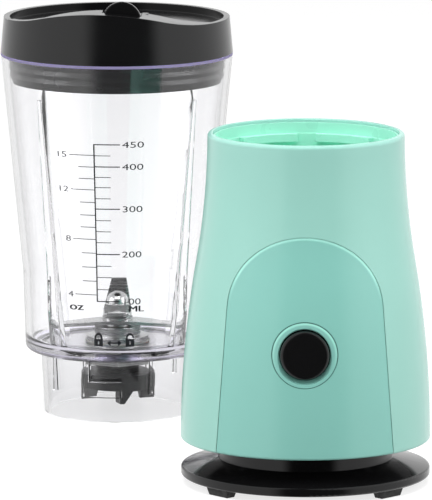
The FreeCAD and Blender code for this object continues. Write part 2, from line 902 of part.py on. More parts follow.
def make_button_guide():
    outer = GUIDE_INNER + S.guide_wall
    body = turned("ButtonGuide", [
        (0, -GUIDE_BACK), (0, -SWITCH_BACK), (GUIDE_INNER, -SWITCH_BACK), (GUIDE_INNER, -RING_BACK),
        (outer, -RING_BACK), (outer, -GUIDE_BACK)], "XY_Plane")
    finish(body, "button_guide", BASE, S.button_tall)


def make_button_spring():
    rise = FLANGE_BACK - SWITCH_FRONT - S.spring_wire * 2 - S.spring_room * 2
    helix = solid("Helix", "SpringLine", {"Pitch": rise / S.spring_turns, "Height": rise,
                                          "Radius": S.spring_radius})
    wire = solid("Circle", "SpringWire", {"Radius": S.spring_wire}, S.spring_radius, 0, 0, (1, 0, 0), 90)
    DOC.recompute()
    coil = DOC.addObject("Part::Sweep", "SpringCoil")
    coil.Sections = [wire]
    coil.Spine = (helix, ["Edge%d" % (k + 1) for k in range(len(helix.Shape.Edges))])
    coil.Solid = True
    coil.Frenet = True
    put(coil, 0, -SWITCH_FRONT - S.spring_wire - S.spring_room, 0, (1, 0, 0), 90)
    finish(together("ButtonSpring", [coil]), "button_spring", BASE, S.button_tall)


# ---------------------------------------------------------------- motor

STACK_TOP = S.stack_low + S.stack_tall
FRAME_UNDER = S.frame_low + S.frame_plate


def make_shaft():
    finish(turned("MotorShaft", [(0, S.shaft_low), (S.shaft_radius, S.shaft_low),
                                 (S.shaft_radius, S.shaft_top), (0, S.shaft_top)]), "motor_shaft", BASE)


def make_bush(name, label, stand, inner, outer, low, tall):
    finish(turned(name, ring(inner, outer, low, low + tall)), label, stand)


def make_lower_frame():
    plate = turned("LowerFrame", [
        (S.bush_outer, S.bearing_low), (S.hub_outer, S.bearing_low), (S.hub_outer, S.frame_low),
        (S.frame_outer, S.frame_low), (S.frame_outer, FRAME_UNDER), (S.hub_outer, FRAME_UNDER),
        (S.hub_outer, S.bearing_low + S.bearing_tall), (S.bush_outer, S.bearing_low + S.bearing_tall)])
    posts = [rod("LowerPost", S.post_radius, S.stack_low - S.frame_low, x, y, S.frame_low)
             for x, y in diagonal_spots(S.bolt_place)]
    legs = [block("BrushLeg", S.holder_wide, S.holder_outer - S.bolt_place + S.holder_wide / 2,
                  S.commutator_low + (S.commutator_tall - S.holder_tall) / 2 - S.frame_low, 0,
                  (S.holder_outer - S.holder_wide / 4) * side, S.frame_low) for side in (1, -1)]
    holes = [rod("LowerBolt", S.bolt_radius + S.bolt_room, S.stack_low, x, y, 0)
             for x, y in diagonal_spots(S.bolt_place)]
    whole = fuse("LowerFrameJoined", [plate] + posts + legs)
    finish(cut("LowerFrameHoled", whole, fuse("LowerFrameHoles", holes)), "lower_motor_frame", BASE)


def make_upper_frame():
    top = S.frame_top + S.frame_plate
    plate = turned("UpperFrame", [
        (S.bush_outer, S.frame_top), (S.frame_outer, S.frame_top), (S.frame_outer, top),
        (S.hub_outer, top), (S.hub_outer, S.frame_top + S.top_bearing_tall),
        (S.bush_outer, S.frame_top + S.top_bearing_tall)])
    plan = sketch_on(plate, "XY_Plane", "WindowPlan", top)
    draw_loop(plan, sector(S.hub_outer + S.frame_plate, S.bolt_place - S.frame_plate, Size(0, "0"),
                           S.window_half))
    around(plate, pocket(plate, plan, S.frame_plate, "Window"), S.window_count, "Windows")
    posts = [rod("UpperPost", S.post_radius, S.frame_top - STACK_TOP + S.frame_plate, x, y, STACK_TOP)
             for x, y in diagonal_spots(S.bolt_place)]
    holes = [rod("UpperBolt", S.bolt_radius + S.bolt_room, S.shaft_top, x, y, STACK_TOP - S.frame_plate)
             for x, y in diagonal_spots(S.bolt_place)]
    whole = fuse("UpperFrameJoined", [plate] + posts)
    finish(cut("UpperFrameHoled", whole, fuse("UpperFrameHoles", holes)), "upper_motor_frame", BASE)


def make_stator():
    body = new_body("StatorStack")
    yoke = sketch_on(body, "XY_Plane", "YokePlan", S.stack_low)
    draw_circle(yoke, 0, 0, S.yoke_outer)
    draw_circle(yoke, 0, 0, S.yoke_inner)
    pad(body, yoke, S.stack_tall, "Yoke")
    pole = sketch_on(body, "XY_Plane", "PolePlan", S.stack_low)
    half = S.neck_width / 2
    shoe = S.pole_face + S.pole_shoe
    back = S.yoke_outer - S.pole_bite
    root_x = root(back * back - half * half)
    waist = root(shoe * shoe - half * half)
    far = (S.pole_face * cosine(S.shoe_half), S.pole_face * sine(S.shoe_half))
    tip = (shoe * cosine(S.shoe_half), shoe * sine(S.shoe_half))
    draw_loop(pole, [
        (far[0], -far[1], S.pole_face, 1), (far[0], far[1]), (tip[0], tip[1], shoe, -1),
        (waist, half), (root_x, half), (root_x, -half), (waist, -half, shoe, -1), (tip[0], -tip[1])])
    around(body, pad(body, pole, S.stack_tall, "Pole"), 2, "Poles")
    holes = [rod("StatorBolt", S.bolt_radius + S.bolt_room, STACK_TOP, x, y, 0)
             for x, y in diagonal_spots(S.bolt_place)]
    finish(cut("StatorHoled", body, fuse("StatorHoles", holes)), "stator_core", BASE)


def make_coils():
    coils = []
    shoe = S.pole_face + S.pole_shoe
    for side in (0, HALF_TURN):
        body = new_body("FieldCoil")
        plan = sketch_on(body, "XY_Plane", "CoilPlan", S.stack_low - S.coil_over)
        draw_loop(plan, sector(shoe + S.coil_room, S.yoke_inner - S.coil_room, Size(side, "%g" % side),
                               S.coil_half))
        pad(body, plan, S.stack_tall + S.coil_over * 2, "Coil")
        reach = S.yoke_outer * (1 if side == 0 else -1)
        window = block("CoilWindow", S.yoke_outer, S.neck_width + S.coil_room * 2,
                       S.stack_tall + S.coil_room * 2, reach, 0, S.stack_low - S.coil_room)
        coils.append(cut("CoilWound", body, window))
    finish(together("FieldCoils", coils), "field_coils", BASE)


def make_armature():
    body = turned("Armature", ring(S.shaft_radius, S.armature_radius, S.stack_low, STACK_TOP))
    plan = sketch_on(body, "XY_Plane", "SlotPlan", STACK_TOP)
    inner = S.armature_radius - S.slot_deep
    draw_loop(plan, [(inner, -S.slot_width / 2), (S.armature_radius + S.cut_over, -S.slot_width / 2),
                     (S.armature_radius + S.cut_over, S.slot_width / 2), (inner, S.slot_width / 2)])
    around(body, pocket(body, plan, S.stack_tall, "WindingSlot"), S.slot_count, "WindingSlots")
    finish(body, "armature_core", BASE)


def make_windings():
    ends = []
    for low in (S.stack_low - S.winding_tall, STACK_TOP):
        top = low + S.winding_tall
        bend = S.winding_round
        ends.append(turned("WindingEnd", [
            (S.winding_inner, low), (S.winding_outer - bend, low, bend, 1), (S.winding_outer, low + bend),
            (S.winding_outer, top - bend, bend, 1), (S.winding_outer - bend, top), (S.winding_inner, top)]))
    finish(together("Windings", ends), "armature_windings", BASE)


def make_commutator():
    top = S.commutator_low + S.commutator_tall
    body = turned("Commutator", ring(S.shaft_radius, S.commutator_radius, S.commutator_low, top))
    plan = sketch_on(body, "XY_Plane", "BarPlan", top)
    inner = S.commutator_radius - S.bar_deep
    draw_loop(plan, [(inner, -S.bar_gap / 2), (S.commutator_radius + S.cut_over, -S.bar_gap / 2),
                     (S.commutator_radius + S.cut_over, S.bar_gap / 2), (inner, S.bar_gap / 2)])
    around(body, pocket(body, plan, S.commutator_tall - S.bar_deep, "BarGap"), S.slot_count, "BarGaps")
    finish(body, "commutator", BASE)


def make_brushes():
    low = S.commutator_low + (S.commutator_tall - S.holder_tall) / 2
    length = S.holder_outer - S.holder_inner
    brush_wide = S.holder_wide - (S.holder_wall + S.brush_room) * 2
    brush_tall = S.holder_tall - (S.holder_wall + S.brush_room) * 2
    start = S.commutator_radius + S.coil_room
    holders = []
    brushes = []
    for side in (1, -1):
        middle = (S.holder_inner + length / 2) * side
        tube = block("HolderTube", S.holder_wide, length, S.holder_tall, 0, middle, low)
        bore = block("HolderBore", S.holder_wide - S.holder_wall * 2, length * 2,
                     S.holder_tall - S.holder_wall * 2, 0, middle, low + S.holder_wall)
        holders.append(cut("Holder", tube, bore))
        brushes.append(block("Brush", brush_wide, S.brush_length, brush_tall, 0,
                             (start + S.brush_length / 2) * side, low + S.holder_wall + S.brush_room))
    finish(together("BrushHolders", holders), "brush_holders", BASE)
    finish(together("Brushes", brushes), "carbon_brushes", BASE)


def make_fan():
    top = S.fan_low + S.fan_tall
    body = turned("Fan", [
        (S.shaft_radius, S.fan_low), (S.fan_outer, S.fan_low), (S.fan_outer, S.fan_low + S.fan_plate),
        (S.fan_hub, S.fan_low + S.fan_plate), (S.fan_hub, top), (S.shaft_radius, top)])
    plan = sketch_on(body, "XY_Plane", "FanBladePlan", S.fan_low + S.fan_plate / 2)
    draw_loop(plan, [
        (S.fan_hub - S.fan_margin, S.blade_plate),
        (S.fan_outer - S.fan_margin, S.fan_hub, S.fan_outer, 1),
        (S.fan_outer - S.fan_margin * 2, S.fan_hub + S.blade_plate, S.fan_outer + S.blade_plate, -1),
        (S.fan_hub - S.fan_margin, S.blade_plate * 2)])
    around(body, pad(body, plan, S.fan_tall - S.fan_plate / 2, "FanBlade"), S.blade_count, "FanBlades")
    finish(body, "cooling_fan", BASE)


def make_motor_bolts():
    bolts = []
    low = S.frame_low - S.bolt_head_tall
    length = S.frame_top + S.frame_plate - low + S.bolt_head_tall
    for x, y in diagonal_spots(S.bolt_place):
        head = rod("BoltHead", S.bolt_head, S.bolt_head_tall, x, y, low)
        shank = rod("BoltShank", S.bolt_radius, length, x, y, low)
        nut = rod("BoltNut", S.bolt_head, S.bolt_head_tall, x, y, S.frame_top + S.frame_plate)
        bolts.append(fuse("MotorBolt", [head, shank, nut]))
    finish(together("MotorBolts", bolts), "motor_bolts", BASE)


def make_motor_mounts():
    frame_over = S.frame_top + S.frame_plate
    well_under = S.well_floor - S.well_plate
    for label, low, top in (("lower_rubber_mounts", DECK_TOP, S.frame_low),
                            ("upper_rubber_mounts", frame_over, well_under)):
        mounts = []
        for x, y in diagonal_spots(S.bolt_place):
            outer = rod("MountRubber", S.mount_radius, top - low, x, y, low)
            bore = rod("MountBore", S.mount_hole, top - low, x, y, low)
            mounts.append(cut("Mount", outer, bore))
        finish(together("Mounts", mounts), label, BASE)


def make_slinger():
    body = turned("Slinger", ring(S.shaft_radius, S.slinger_outer, S.slinger_low,
                                  S.slinger_low + S.slinger_plate))
    finish(body, "slinger_washer", BASE)


def dog_teeth(body, disc, tip, inner, outer):
    """Four teeth with one upright flank and one ramp, from the disc's face to their tips."""
    plan = sketch_on(body, "XZ_Plane", "DogPlan", inner)
    draw_loop(plan, [(-S.dog_flank, disc), (-S.dog_flank, tip), (S.dog_tip, tip), (S.dog_flank, disc)])
    around(body, pad(body, plan, outer + S.dog_flank - inner, "Dog"), S.dog_count, "Dogs")
    return common("DogsTrimmed", [body, rod("DogRound", outer, S.shell_top)])


def make_drive_coupling():
    disc_top = S.drive_disc_low + S.drive_disc_plate
    bite = S.drive_disc_low + S.drive_disc_plate / 2
    body = turned("DriveCoupling", [
        (S.shaft_radius, S.drive_hub_low), (S.drive_hub, S.drive_hub_low), (S.drive_hub, S.drive_disc_low),
        (S.drive_disc_radius, S.drive_disc_low), (S.drive_disc_radius, disc_top), (S.drive_hub, disc_top),
        (S.drive_hub, S.drive_boss_top), (0, S.drive_boss_top), (0, S.shaft_top),
        (S.shaft_radius, S.shaft_top)])
    toothed = dog_teeth(body, bite, S.drive_teeth_top, S.dog_inner, S.drive_disc_radius)
    finish(toothed, "drive_coupling", BASE)


# ---------------------------------------------------------------- jar

def straight_wall(tall, inset=0):
    """The jar's outer radius on its long taper, or that far inside it."""
    slope = (S.mouth_outer - S.bend_outer) / (S.mouth_tall - S.bend_tall)
    return S.bend_outer - inset + slope * (tall - S.bend_tall)


FLOOR_TOP = S.step_tall + S.floor_plate
HUB_TOP = S.step_tall + S.hub_rise
HUB_LOW = S.step_tall - S.hub_drop
DRIVEN_TOP = HUB_LOW - S.driven_room
DRIVEN_DISC_TOP = DRIVEN_TOP - S.driven_hub_tall
DRIVEN_DISC_LOW = DRIVEN_DISC_TOP - S.driven_disc_plate
DRIVEN_LOW = DRIVEN_DISC_LOW - S.driven_tooth
BLADE_SHAFT_LOW = DRIVEN_DISC_LOW + S.driven_skin
BLADE_SHAFT_TOP = HUB_TOP + S.blade_shaft_over
# The docked jar's step stands on the housing's rim, and its lugs lie under the ledge.
LUG_TOP = S.step_tall - (S.shell_top - S.ledge_top) - S.ledge_plate - S.lug_room
LUG_LOW = LUG_TOP - S.lug_tall


def jar_corners():
    wall = S.jar_wall
    return [
        (S.skirt_low_outer - S.skirt_wall, 0), (S.skirt_low_outer, 0),
        (S.skirt_top_outer, S.step_tall),
        (S.body_low_outer - S.corner_round, S.step_tall, S.corner_round, 1),
        (S.body_low_outer, S.step_tall + S.corner_round), (S.bend_outer, S.bend_tall),
        (S.mouth_outer, S.mouth_tall), (S.mouth_outer - wall, S.mouth_tall),
        (S.bend_outer - wall, S.bend_tall),
        (S.body_low_outer - wall, FLOOR_TOP + S.inner_round, S.inner_round, -1),
        (S.body_low_outer - wall - S.inner_round, FLOOR_TOP), (S.floor_hole, FLOOR_TOP),
        (S.floor_hole, S.step_tall - S.floor_boss_drop), (S.floor_boss, S.step_tall - S.floor_boss_drop),
        (S.floor_boss, S.step_tall), (S.skirt_top_outer - S.skirt_wall, S.step_tall)]


def make_jar():
    wall = turned("JarWall", jar_corners())
    low = S.step_tall + S.floor_plate / 2
    cones = [flow_rib(low, 45 + 90 * index) for index in range(4)]
    half = S.jar_wall / 2
    room = turned("RibRoom", [
        (0, low), (S.body_low_outer - half - S.corner_round, low), (S.bend_outer - half, S.bend_tall),
        (S.mouth_outer - half, S.mouth_tall), (0, S.mouth_tall)])
    ribs = common("FlowRibs", [room, fuse("RibCones", cones)])
    extras = [bayonet_lug(turn) for turn in (0, HALF_TURN)]
    for angle in (S.key_first, S.key_second, S.key_first + HALF_TURN, S.key_second + HALF_TURN):
        extras.append(skirt_key(angle))
    whole = fuse("JarWhole", [wall, ribs] + extras)
    finish_turned(whole, "jar")


def flow_rib(low, angle):
    """A tapered rib that leans with the inner wall, turned out to one diagonal."""
    lean = slope_angle(S.mouth_outer - S.bend_outer, S.mouth_tall - S.bend_tall)
    cone = solid("Cone", "FlowRib", {"Radius1": S.flow_rib_low_radius, "Radius2": S.flow_rib_top_radius,
                                     "Height": S.flow_rib_top - low},
                 straight_wall(low, S.jar_wall), 0, low, (0, 1, 0), lean)
    return put(together("FlowRibHolder", [cone]), 0, 0, 0, (0, 0, 1), angle)


def bayonet_lug(turn):
    """A flat lug round the skirt, with a short stem up to the step at its start."""
    start = S.lug_start + turn
    inside = S.skirt_low_outer - S.skirt_wall / 2
    pieces = []
    for name, low, top, angle in (("Lug", LUG_LOW, LUG_TOP, S.lug_angle),
                                  ("LugStem", LUG_LOW, S.step_tall + S.floor_plate / 2, S.lug_stem)):
        outer = solid("Cylinder", name, {"Radius": S.lug_outer, "Height": top - low, "Angle": angle},
                      0, 0, low, (0, 0, 1), start)
        inner = rod(name + "Core", inside, top - low, 0, 0, low)
        pieces.append(cut(name + "Ring", outer, inner))
    return fuse("BayonetLug", pieces)


def skirt_key(angle):
    """A thin upright rib on the skirt."""
    inside = S.skirt_low_outer - S.skirt_wall / 4
    rib = solid("Box", "SkirtKey", {"Length": S.key_outer - inside, "Width": S.key_width,
                                    "Height": S.step_tall - S.key_low + S.floor_plate / 2})
    return put(rib, inside * cosine(angle), inside * sine(angle), S.key_low, (0, 0, 1), angle)


def finish_turned(item, label):
    """Stand a piece at the jar's axis, turned as the jar stands."""
    item.Label = label
    put(item, JAR[0], JAR[1], 0, (0, 0, 1), S.jar_turn)
    PIECES.append(item)


def make_blade_hub():
    seat = FLOOR_TOP + S.gasket_plate
    body = turned("BladeHub", [
        (S.bush_outer, HUB_LOW), (S.hub_tube, HUB_LOW), (S.hub_tube, seat),
        (S.hub_flange, seat), (S.hub_flange, seat + S.hub_flange_plate),
        (S.hub_tube, seat + S.hub_flange_plate), (S.hub_tube, HUB_TOP), (S.bush_outer, HUB_TOP)])
    finish_turned(body, "bearing_hub")
    gasket = turned("HubGasket", ring(S.floor_hole, S.gasket_outer, FLOOR_TOP, seat))
    finish_turned(gasket, "hub_gasket")
    nut = new_body("HubNut")
    nut_low = S.step_tall - S.floor_boss_drop - S.nut_plate
    plan = sketch_on(nut, "XY_Plane", "NutPlan", nut_low)
    draw_loop(plan, hexagon(S.nut_flats))
    draw_circle(plan, 0, 0, S.hub_tube)
    pad(nut, plan, S.nut_plate, "Nut")
    finish_turned(nut, "hub_nut")
    for label, low in (("lower_blade_bush", HUB_LOW), ("upper_blade_bush", HUB_TOP - S.blade_bush_tall)):
        bush = turned("BladeBush", ring(S.shaft_radius + S.bush_fit, S.bush_outer, low,
                                        low + S.blade_bush_tall))
        finish_turned(bush, label)
    seal_low = HUB_LOW + S.blade_bush_tall
    seal = turned("ShaftSeal", ring(S.shaft_radius + S.bush_fit, S.bush_outer, seal_low,
                                    HUB_TOP - S.blade_bush_tall))
    finish_turned(seal, "shaft_seal")


WASHER_LOW = HUB_TOP + S.screw_room
KNIFE_LOW = WASHER_LOW + S.washer_plate
SPACER_LOW = KNIFE_LOW + S.knife_plate
CROSS_LOW = SPACER_LOW + S.spacer_plate
CAP_LOW = CROSS_LOW + S.knife_plate


def make_blade_shaft():
    body = turned("BladeShaft", [(0, BLADE_SHAFT_LOW), (S.shaft_radius, BLADE_SHAFT_LOW),
                                 (S.shaft_radius, BLADE_SHAFT_TOP), (0, BLADE_SHAFT_TOP)])
    finish_turned(body, "blade_shaft")
    washer = turned("ThrustWasher", ring(S.shaft_radius, S.washer_outer, WASHER_LOW, KNIFE_LOW))
    finish_turned(washer, "thrust_washer")
    spacer = turned("KnifeSpacer", ring(S.shaft_radius, S.washer_outer, SPACER_LOW, CROSS_LOW))
    finish_turned(spacer, "blade_spacer")


def knife(name, low, reach, right_rise, left_rise):
    """A steel strip bent at both roots, tapered towards its tips and bored for the shaft."""
    body = new_body(name)
    side = sketch_on(body, "XZ_Plane", "Bend")
    plate = S.knife_plate
    draw_loop(side, [
        (-reach, low + left_rise), (-S.knife_root, low), (S.knife_root, low), (reach, low + right_rise),
        (reach, low + right_rise + plate), (S.knife_root, low + plate), (-S.knife_root, low + plate),
        (-reach, low + left_rise + plate)])
    pad(body, side, S.knife_half_width * 2, "Strip", both=True)
    plan = sketch_on(body, "XY_Plane", "TaperPlan")
    far = reach + S.knife_skew
    wide = S.knife_half_width + S.knife_skew
    for way in (1, -1):
        draw_loop(plan, [(S.knife_root * way, wide * way), (far * way, wide * way),
                         (far * way, S.knife_tip_half * way), (S.knife_root * way, S.knife_half_width * way)])
        draw_loop(plan, [(S.knife_root * way, -wide * way), (far * way, -wide * way),
                         (far * way, -(S.knife_tip_half + S.knife_skew) * way),
                         (S.knife_root * way, -S.knife_half_width * way)])
    pocket(body, plan, S.mouth_tall, "Taper", along=True)
    bore = sketch_on(body, "XY_Plane", "BorePlan")
    draw_circle(bore, 0, 0, S.shaft_radius)
    pocket(body, bore, S.mouth_tall, "Bore", along=True)
    return body


def make_knives():
    lower = knife("LowerKnife", KNIFE_LOW, S.knife_reach, -S.knife_fall, -S.knife_fall)
    finish_turned(lower, "lower_blade")
    upper = knife("UpperKnife", CROSS_LOW, S.cross_reach, S.knife_rise, S.cross_rise)
    holder = together("UpperKnifeTurned", [put(upper, 0, 0, 0, (0, 0, 1), 90)])
    finish_turned(holder, "upper_blade")


def make_cap_nut():
    body = new_body("CapNut")
    plan = sketch_on(body, "XY_Plane", "CapPlan", CAP_LOW)
    draw_loop(plan, hexagon(S.cap_nut_flats))
    pad(body, plan, S.cap_nut_tall, "Hex")
    bore = sketch_on(body, "XY_Plane", "CapBore", CAP_LOW)
    draw_circle(bore, 0, 0, S.shaft_radius)
    pocket(body, bore, BLADE_SHAFT_TOP - CAP_LOW, "CapHole", along=True)
    ball = S.cap_nut_flats - S.cap_dome_inset
    dome = solid("Sphere", "CapDome", {"Radius": ball, "Angle1": 0, "Angle2": 90}, 0, 0,
                 CAP_LOW + S.cap_nut_tall)
    finish_turned(fuse("CapNutDomed", [body, dome]), "blade_cap_nut")


def make_driven_coupling():
    body = turned("DrivenCoupling", [
        (0, DRIVEN_DISC_LOW), (S.driven_radius, DRIVEN_DISC_LOW), (S.driven_radius, DRIVEN_DISC_TOP),
        (S.driven_hub, DRIVEN_DISC_TOP), (S.driven_hub, DRIVEN_TOP), (S.shaft_radius, DRIVEN_TOP),
        (S.shaft_radius, BLADE_SHAFT_LOW), (0, BLADE_SHAFT_LOW)])
    bite = (DRIVEN_DISC_LOW + DRIVEN_DISC_TOP) / 2
    toothed = put(dog_teeth(body, bite, DRIVEN_LOW, S.dog_inner, S.driven_radius), 0, 0, 0,
                  (0, 0, 1), S.driven_turn)
    finish_turned(together("DrivenTurned", [toothed]), "driven_coupling")


# ---------------------------------------------------------------- lid

LID_TOP = S.mouth_tall + S.lid_tall
LID_FULL = LID_TOP + S.wave_tall
DISH_FLOOR = LID_TOP - S.dish_deep
PLUG_LOW = S.mouth_tall - S.plug_deep
TAB_BACK = S.tab_depth - S.tab_plate


def wave_height(across):
    """The raised edge's height above the lid's rim at a place to the right of its peak."""
    run = S.wave_right - S.wave_peak
    half_tangent = S.wave_tall / run
    sin_all = 2 * half_tangent / (1 + half_tangent * half_tangent)
    arc = run * S.wave_share / sin_all
    off = across - S.wave_peak
    return S.wave_tall - arc + root(arc * arc - off * off)


DECK_AT_TAB = LID_TOP + wave_height(S.tab_across + S.tab_wide / 2 + S.flap_room)
FLAP_TOP = DECK_AT_TAB - S.flap_sink
FLAP_LOW = FLAP_TOP - S.flap_plate
HINGE_TALL = FLAP_TOP - S.barrel_radius


def wave_side(far, mirrored):
    """Two arcs from the wave's peak down to the rim's level, as corners from the peak out."""
    run = (far - S.wave_peak) * (-1 if mirrored else 1)
    half_tangent = S.wave_tall / run
    square = half_tangent * half_tangent
    sin_all = 2 * half_tangent / (1 + square)
    share = S.wave_share
    upper = run * share / sin_all
    lower = run * (1 - share) / sin_all
    middle_x = S.wave_peak + (far - S.wave_peak) * share
    middle_z = LID_FULL - S.wave_tall * share
    return upper, lower, (middle_x, middle_z)


def make_lid():
    wall = S.lid_wall
    # The outer wall leans in by the same slope above the rim's level.
    lean = (S.mouth_outer - S.lid_top_outer) / (LID_TOP - S.mouth_tall)
    full_outer = S.lid_top_outer - lean * S.wave_tall
    plug_top = straight_wall(S.mouth_tall, S.jar_wall + S.plug_room)
    plug_low = straight_wall(PLUG_LOW, S.jar_wall + S.plug_room)
    floor_low = DISH_FLOOR - S.dish_plate
    body = turned("LidShell", [
        (0, floor_low), (plug_top - S.plug_wall, floor_low), (plug_low - S.plug_wall, PLUG_LOW),
        (plug_low, PLUG_LOW), (plug_top, S.mouth_tall), (S.mouth_outer, S.mouth_tall),
        (full_outer, LID_FULL), (full_outer - wall, LID_FULL), (S.lid_top_outer - wall, DISH_FLOOR),
        (0, DISH_FLOOR)])
    deck = sketch_on(body, "XY_Plane", "DeckPlan", DISH_FLOOR - S.dish_plate / 2)
    edge = S.lid_top_outer - wall / 2 - lean * S.wave_tall
    # The deck's back edge is a slanting line across the dish, met with the wall's circle.
    slant = S.deck_slant
    square = 1 + slant * slant
    near = slant * S.deck_line / square
    swing = root(edge * edge * square - S.deck_line * S.deck_line) / square
    right, left = near + swing, near - swing
    draw_loop(deck, [
        (right, slant * right - S.deck_line), (left, slant * left - S.deck_line, edge, 1)])
    pad(body, deck, LID_FULL - DISH_FLOOR + S.dish_plate / 2, "Deck")
    back = sketch_on(body, "YZ_Plane", "BackCut")
    far = S.deck_reach
    draw_loop(back, [(-S.wave_back, LID_TOP), (far, LID_TOP), (far, LID_FULL + S.tab_plate),
                     (-S.wave_back, LID_FULL + S.tab_plate)])
    pocket(body, back, far * 2, "BackPocket", both=True)
    wave = sketch_on(body, "XZ_Plane", "WaveCut")
    upper_r, lower_r, middle_r = wave_side(S.wave_right, False)
    upper_l, lower_l, middle_l = wave_side(S.wave_left, True)
    draw_loop(wave, [
        (far, LID_TOP), (far, LID_FULL + S.tab_plate), (-far, LID_FULL + S.tab_plate), (-far, LID_TOP),
        (S.wave_left, LID_TOP, lower_l, 1), (middle_l[0], middle_l[1], upper_l, -1),
        (S.wave_peak, LID_FULL, upper_r, -1), (middle_r[0], middle_r[1], lower_r, 1),
        (S.wave_right, LID_TOP)])
    pocket(body, wave, far, "WavePocket", along=True)
    room = S.flap_room
    recess = block("FlapRecess", S.tab_wide + room * 2, S.tab_depth - S.hinge_depth + room + S.tab_wide,
                   S.wave_tall * 2, S.tab_across,
                   -(S.tab_depth + S.hinge_depth + room - S.tab_wide) / 2, FLAP_LOW - room)
    trough_low = HINGE_TALL - S.barrel_radius - room
    trough = block("HingeTrough", S.tab_wide + room * 2, S.barrel_radius * 2 + room * 2 + S.tab_wide,
                   S.wave_tall * 2, S.tab_across,
                   -(S.hinge_depth - S.tab_wide / 2), trough_low)
    pin = rod("PinHoles", S.pin_radius, S.tab_wide + (room + S.pin_bite) * 2,
              S.tab_across - S.tab_wide / 2 - room - S.pin_bite, -S.hinge_depth, HINGE_TALL, (0, 1, 0), 90)
    sip = rod("SipHole", S.sip_radius + S.sip_room, LID_FULL, S.tab_across, -S.sip_depth, PLUG_LOW)
    ears = []
    for side in (1, -1):
        ear = block("HingeEar", S.pin_bite + room, (S.barrel_radius + room) * 2 + room,
                    HINGE_TALL + S.barrel_radius - DISH_FLOOR + room,
                    S.tab_across + (S.tab_wide / 2 + room + (S.pin_bite + room) / 2) * side,
                    -S.hinge_depth, DISH_FLOOR - room)
        ears.append(ear)
    holed = cut("LidRecessed", body, fuse("LidRecesses", [recess, trough, sip]))
    finish_lid(cut("LidPinned", fuse("LidEared", [holed] + ears), pin), "lid")


def finish_lid(item, label):
    item.Label = label
    put(item, JAR[0], JAR[1], 0)
    PIECES.append(item)


def make_lid_seal():
    """A silicone sleeve round the plug, with ribs that bear on the jar's wall."""
    inner_gap = S.jar_wall + S.plug_room
    pitch = (S.plug_deep - S.seal_foot) / S.seal_count
    corners = [(straight_wall(PLUG_LOW + S.seal_foot, inner_gap), PLUG_LOW + S.seal_foot)]
    sleeve = inner_gap - S.plug_room / 3
    for index in range(int(S.seal_count.number)):
        low = PLUG_LOW + S.seal_foot + pitch * index
        peak = low + pitch / 2
        corners.append((straight_wall(low, sleeve), low))
        corners.append((straight_wall(peak, S.jar_wall + S.seal_room), peak))
    corners.append((straight_wall(S.mouth_tall - S.seal_room, sleeve), S.mouth_tall - S.seal_room))
    corners.append((straight_wall(S.mouth_tall - S.seal_room, inner_gap), S.mouth_tall - S.seal_room))
    finish_lid(turned("LidSeal", corners), "lid_seal")


def make_flap():
    plate = block("FlapPlate", S.tab_wide, S.tab_depth - S.hinge_depth, S.flap_plate, S.tab_across,
                  -(S.tab_depth + S.hinge_depth) / 2, FLAP_LOW)
    barrel = rod("FlapBarrel", S.barrel_radius, S.tab_wide, S.tab_across - S.tab_wide / 2, -S.hinge_depth,
                 HINGE_TALL, (0, 1, 0), 90)
    tab = new_body("FlapTab")
    face = sketch_on(tab, "XZ_Plane", "TabFace", TAB_BACK)
    half = S.tab_wide / 2
    crown = FLAP_TOP + S.tab_tall
    draw_loop(face, [
        (S.tab_across + half, FLAP_LOW), (S.tab_across + half, FLAP_TOP, S.tab_round, 1),
        (S.tab_across, crown, S.tab_round, 1), (S.tab_across - half, FLAP_TOP),
        (S.tab_across - half, FLAP_LOW)])
    pad(tab, face, S.tab_plate, "Tab")
    stopper = rod("FlapStopper", S.sip_radius, S.plug_tip_deep, S.tab_across, -S.sip_depth,
                  FLAP_LOW - S.plug_tip_deep)
    bore = rod("FlapBore", S.pin_radius + S.pin_fit, S.tab_wide, S.tab_across - S.tab_wide / 2,
               -S.hinge_depth, HINGE_TALL, (0, 1, 0), 90)
    whole = fuse("FlapWhole", [plate, barrel, tab, stopper])
    finish_lid(cut("FlapBored", whole, bore), "sip_flap")
    bite = S.flap_room + S.pin_bite
    pin = rod("FlapPin", S.pin_radius, S.tab_wide + bite * 2, S.tab_across - S.tab_wide / 2 - bite,
              -S.hinge_depth, HINGE_TALL, (0, 1, 0), 90)
    finish_lid(together("FlapPinHeld", [pin]), "flap_pin")


# ---------------------------------------------------------------- the whole

def make_all():
    make_housing()
    make_front_panel()
    make_docking_well()
    make_base_plate()
    make_foot_pads()
    make_plate_screws()
    make_cord_outlet()
    make_button_ring()
    make_button()
    make_switch_plunger()
    make_switch()
    make_button_guide()
    make_button_spring()
    make_shaft()
    make_bush("LowerBush", "lower_motor_bush", BASE, S.shaft_radius + S.bush_fit, S.bush_outer,
              S.bearing_low, S.bearing_tall)
    make_bush("UpperBush", "upper_motor_bush", BASE, S.shaft_radius + S.bush_fit, S.bush_outer,
              S.frame_top, S.top_bearing_tall)
    make_lower_frame()
    make_upper_frame()
    make_stator()
    make_coils()
    make_armature()
    make_windings()
    make_commutator()
    make_brushes()
    make_fan()
    make_motor_bolts()
    make_motor_mounts()
    make_slinger()
    make_drive_coupling()
    make_jar()
    make_blade_hub()
    make_blade_shaft()
    make_knives()
    make_cap_nut()
    make_driven_coupling()
    make_lid()
    make_lid_seal()
    make_flap()


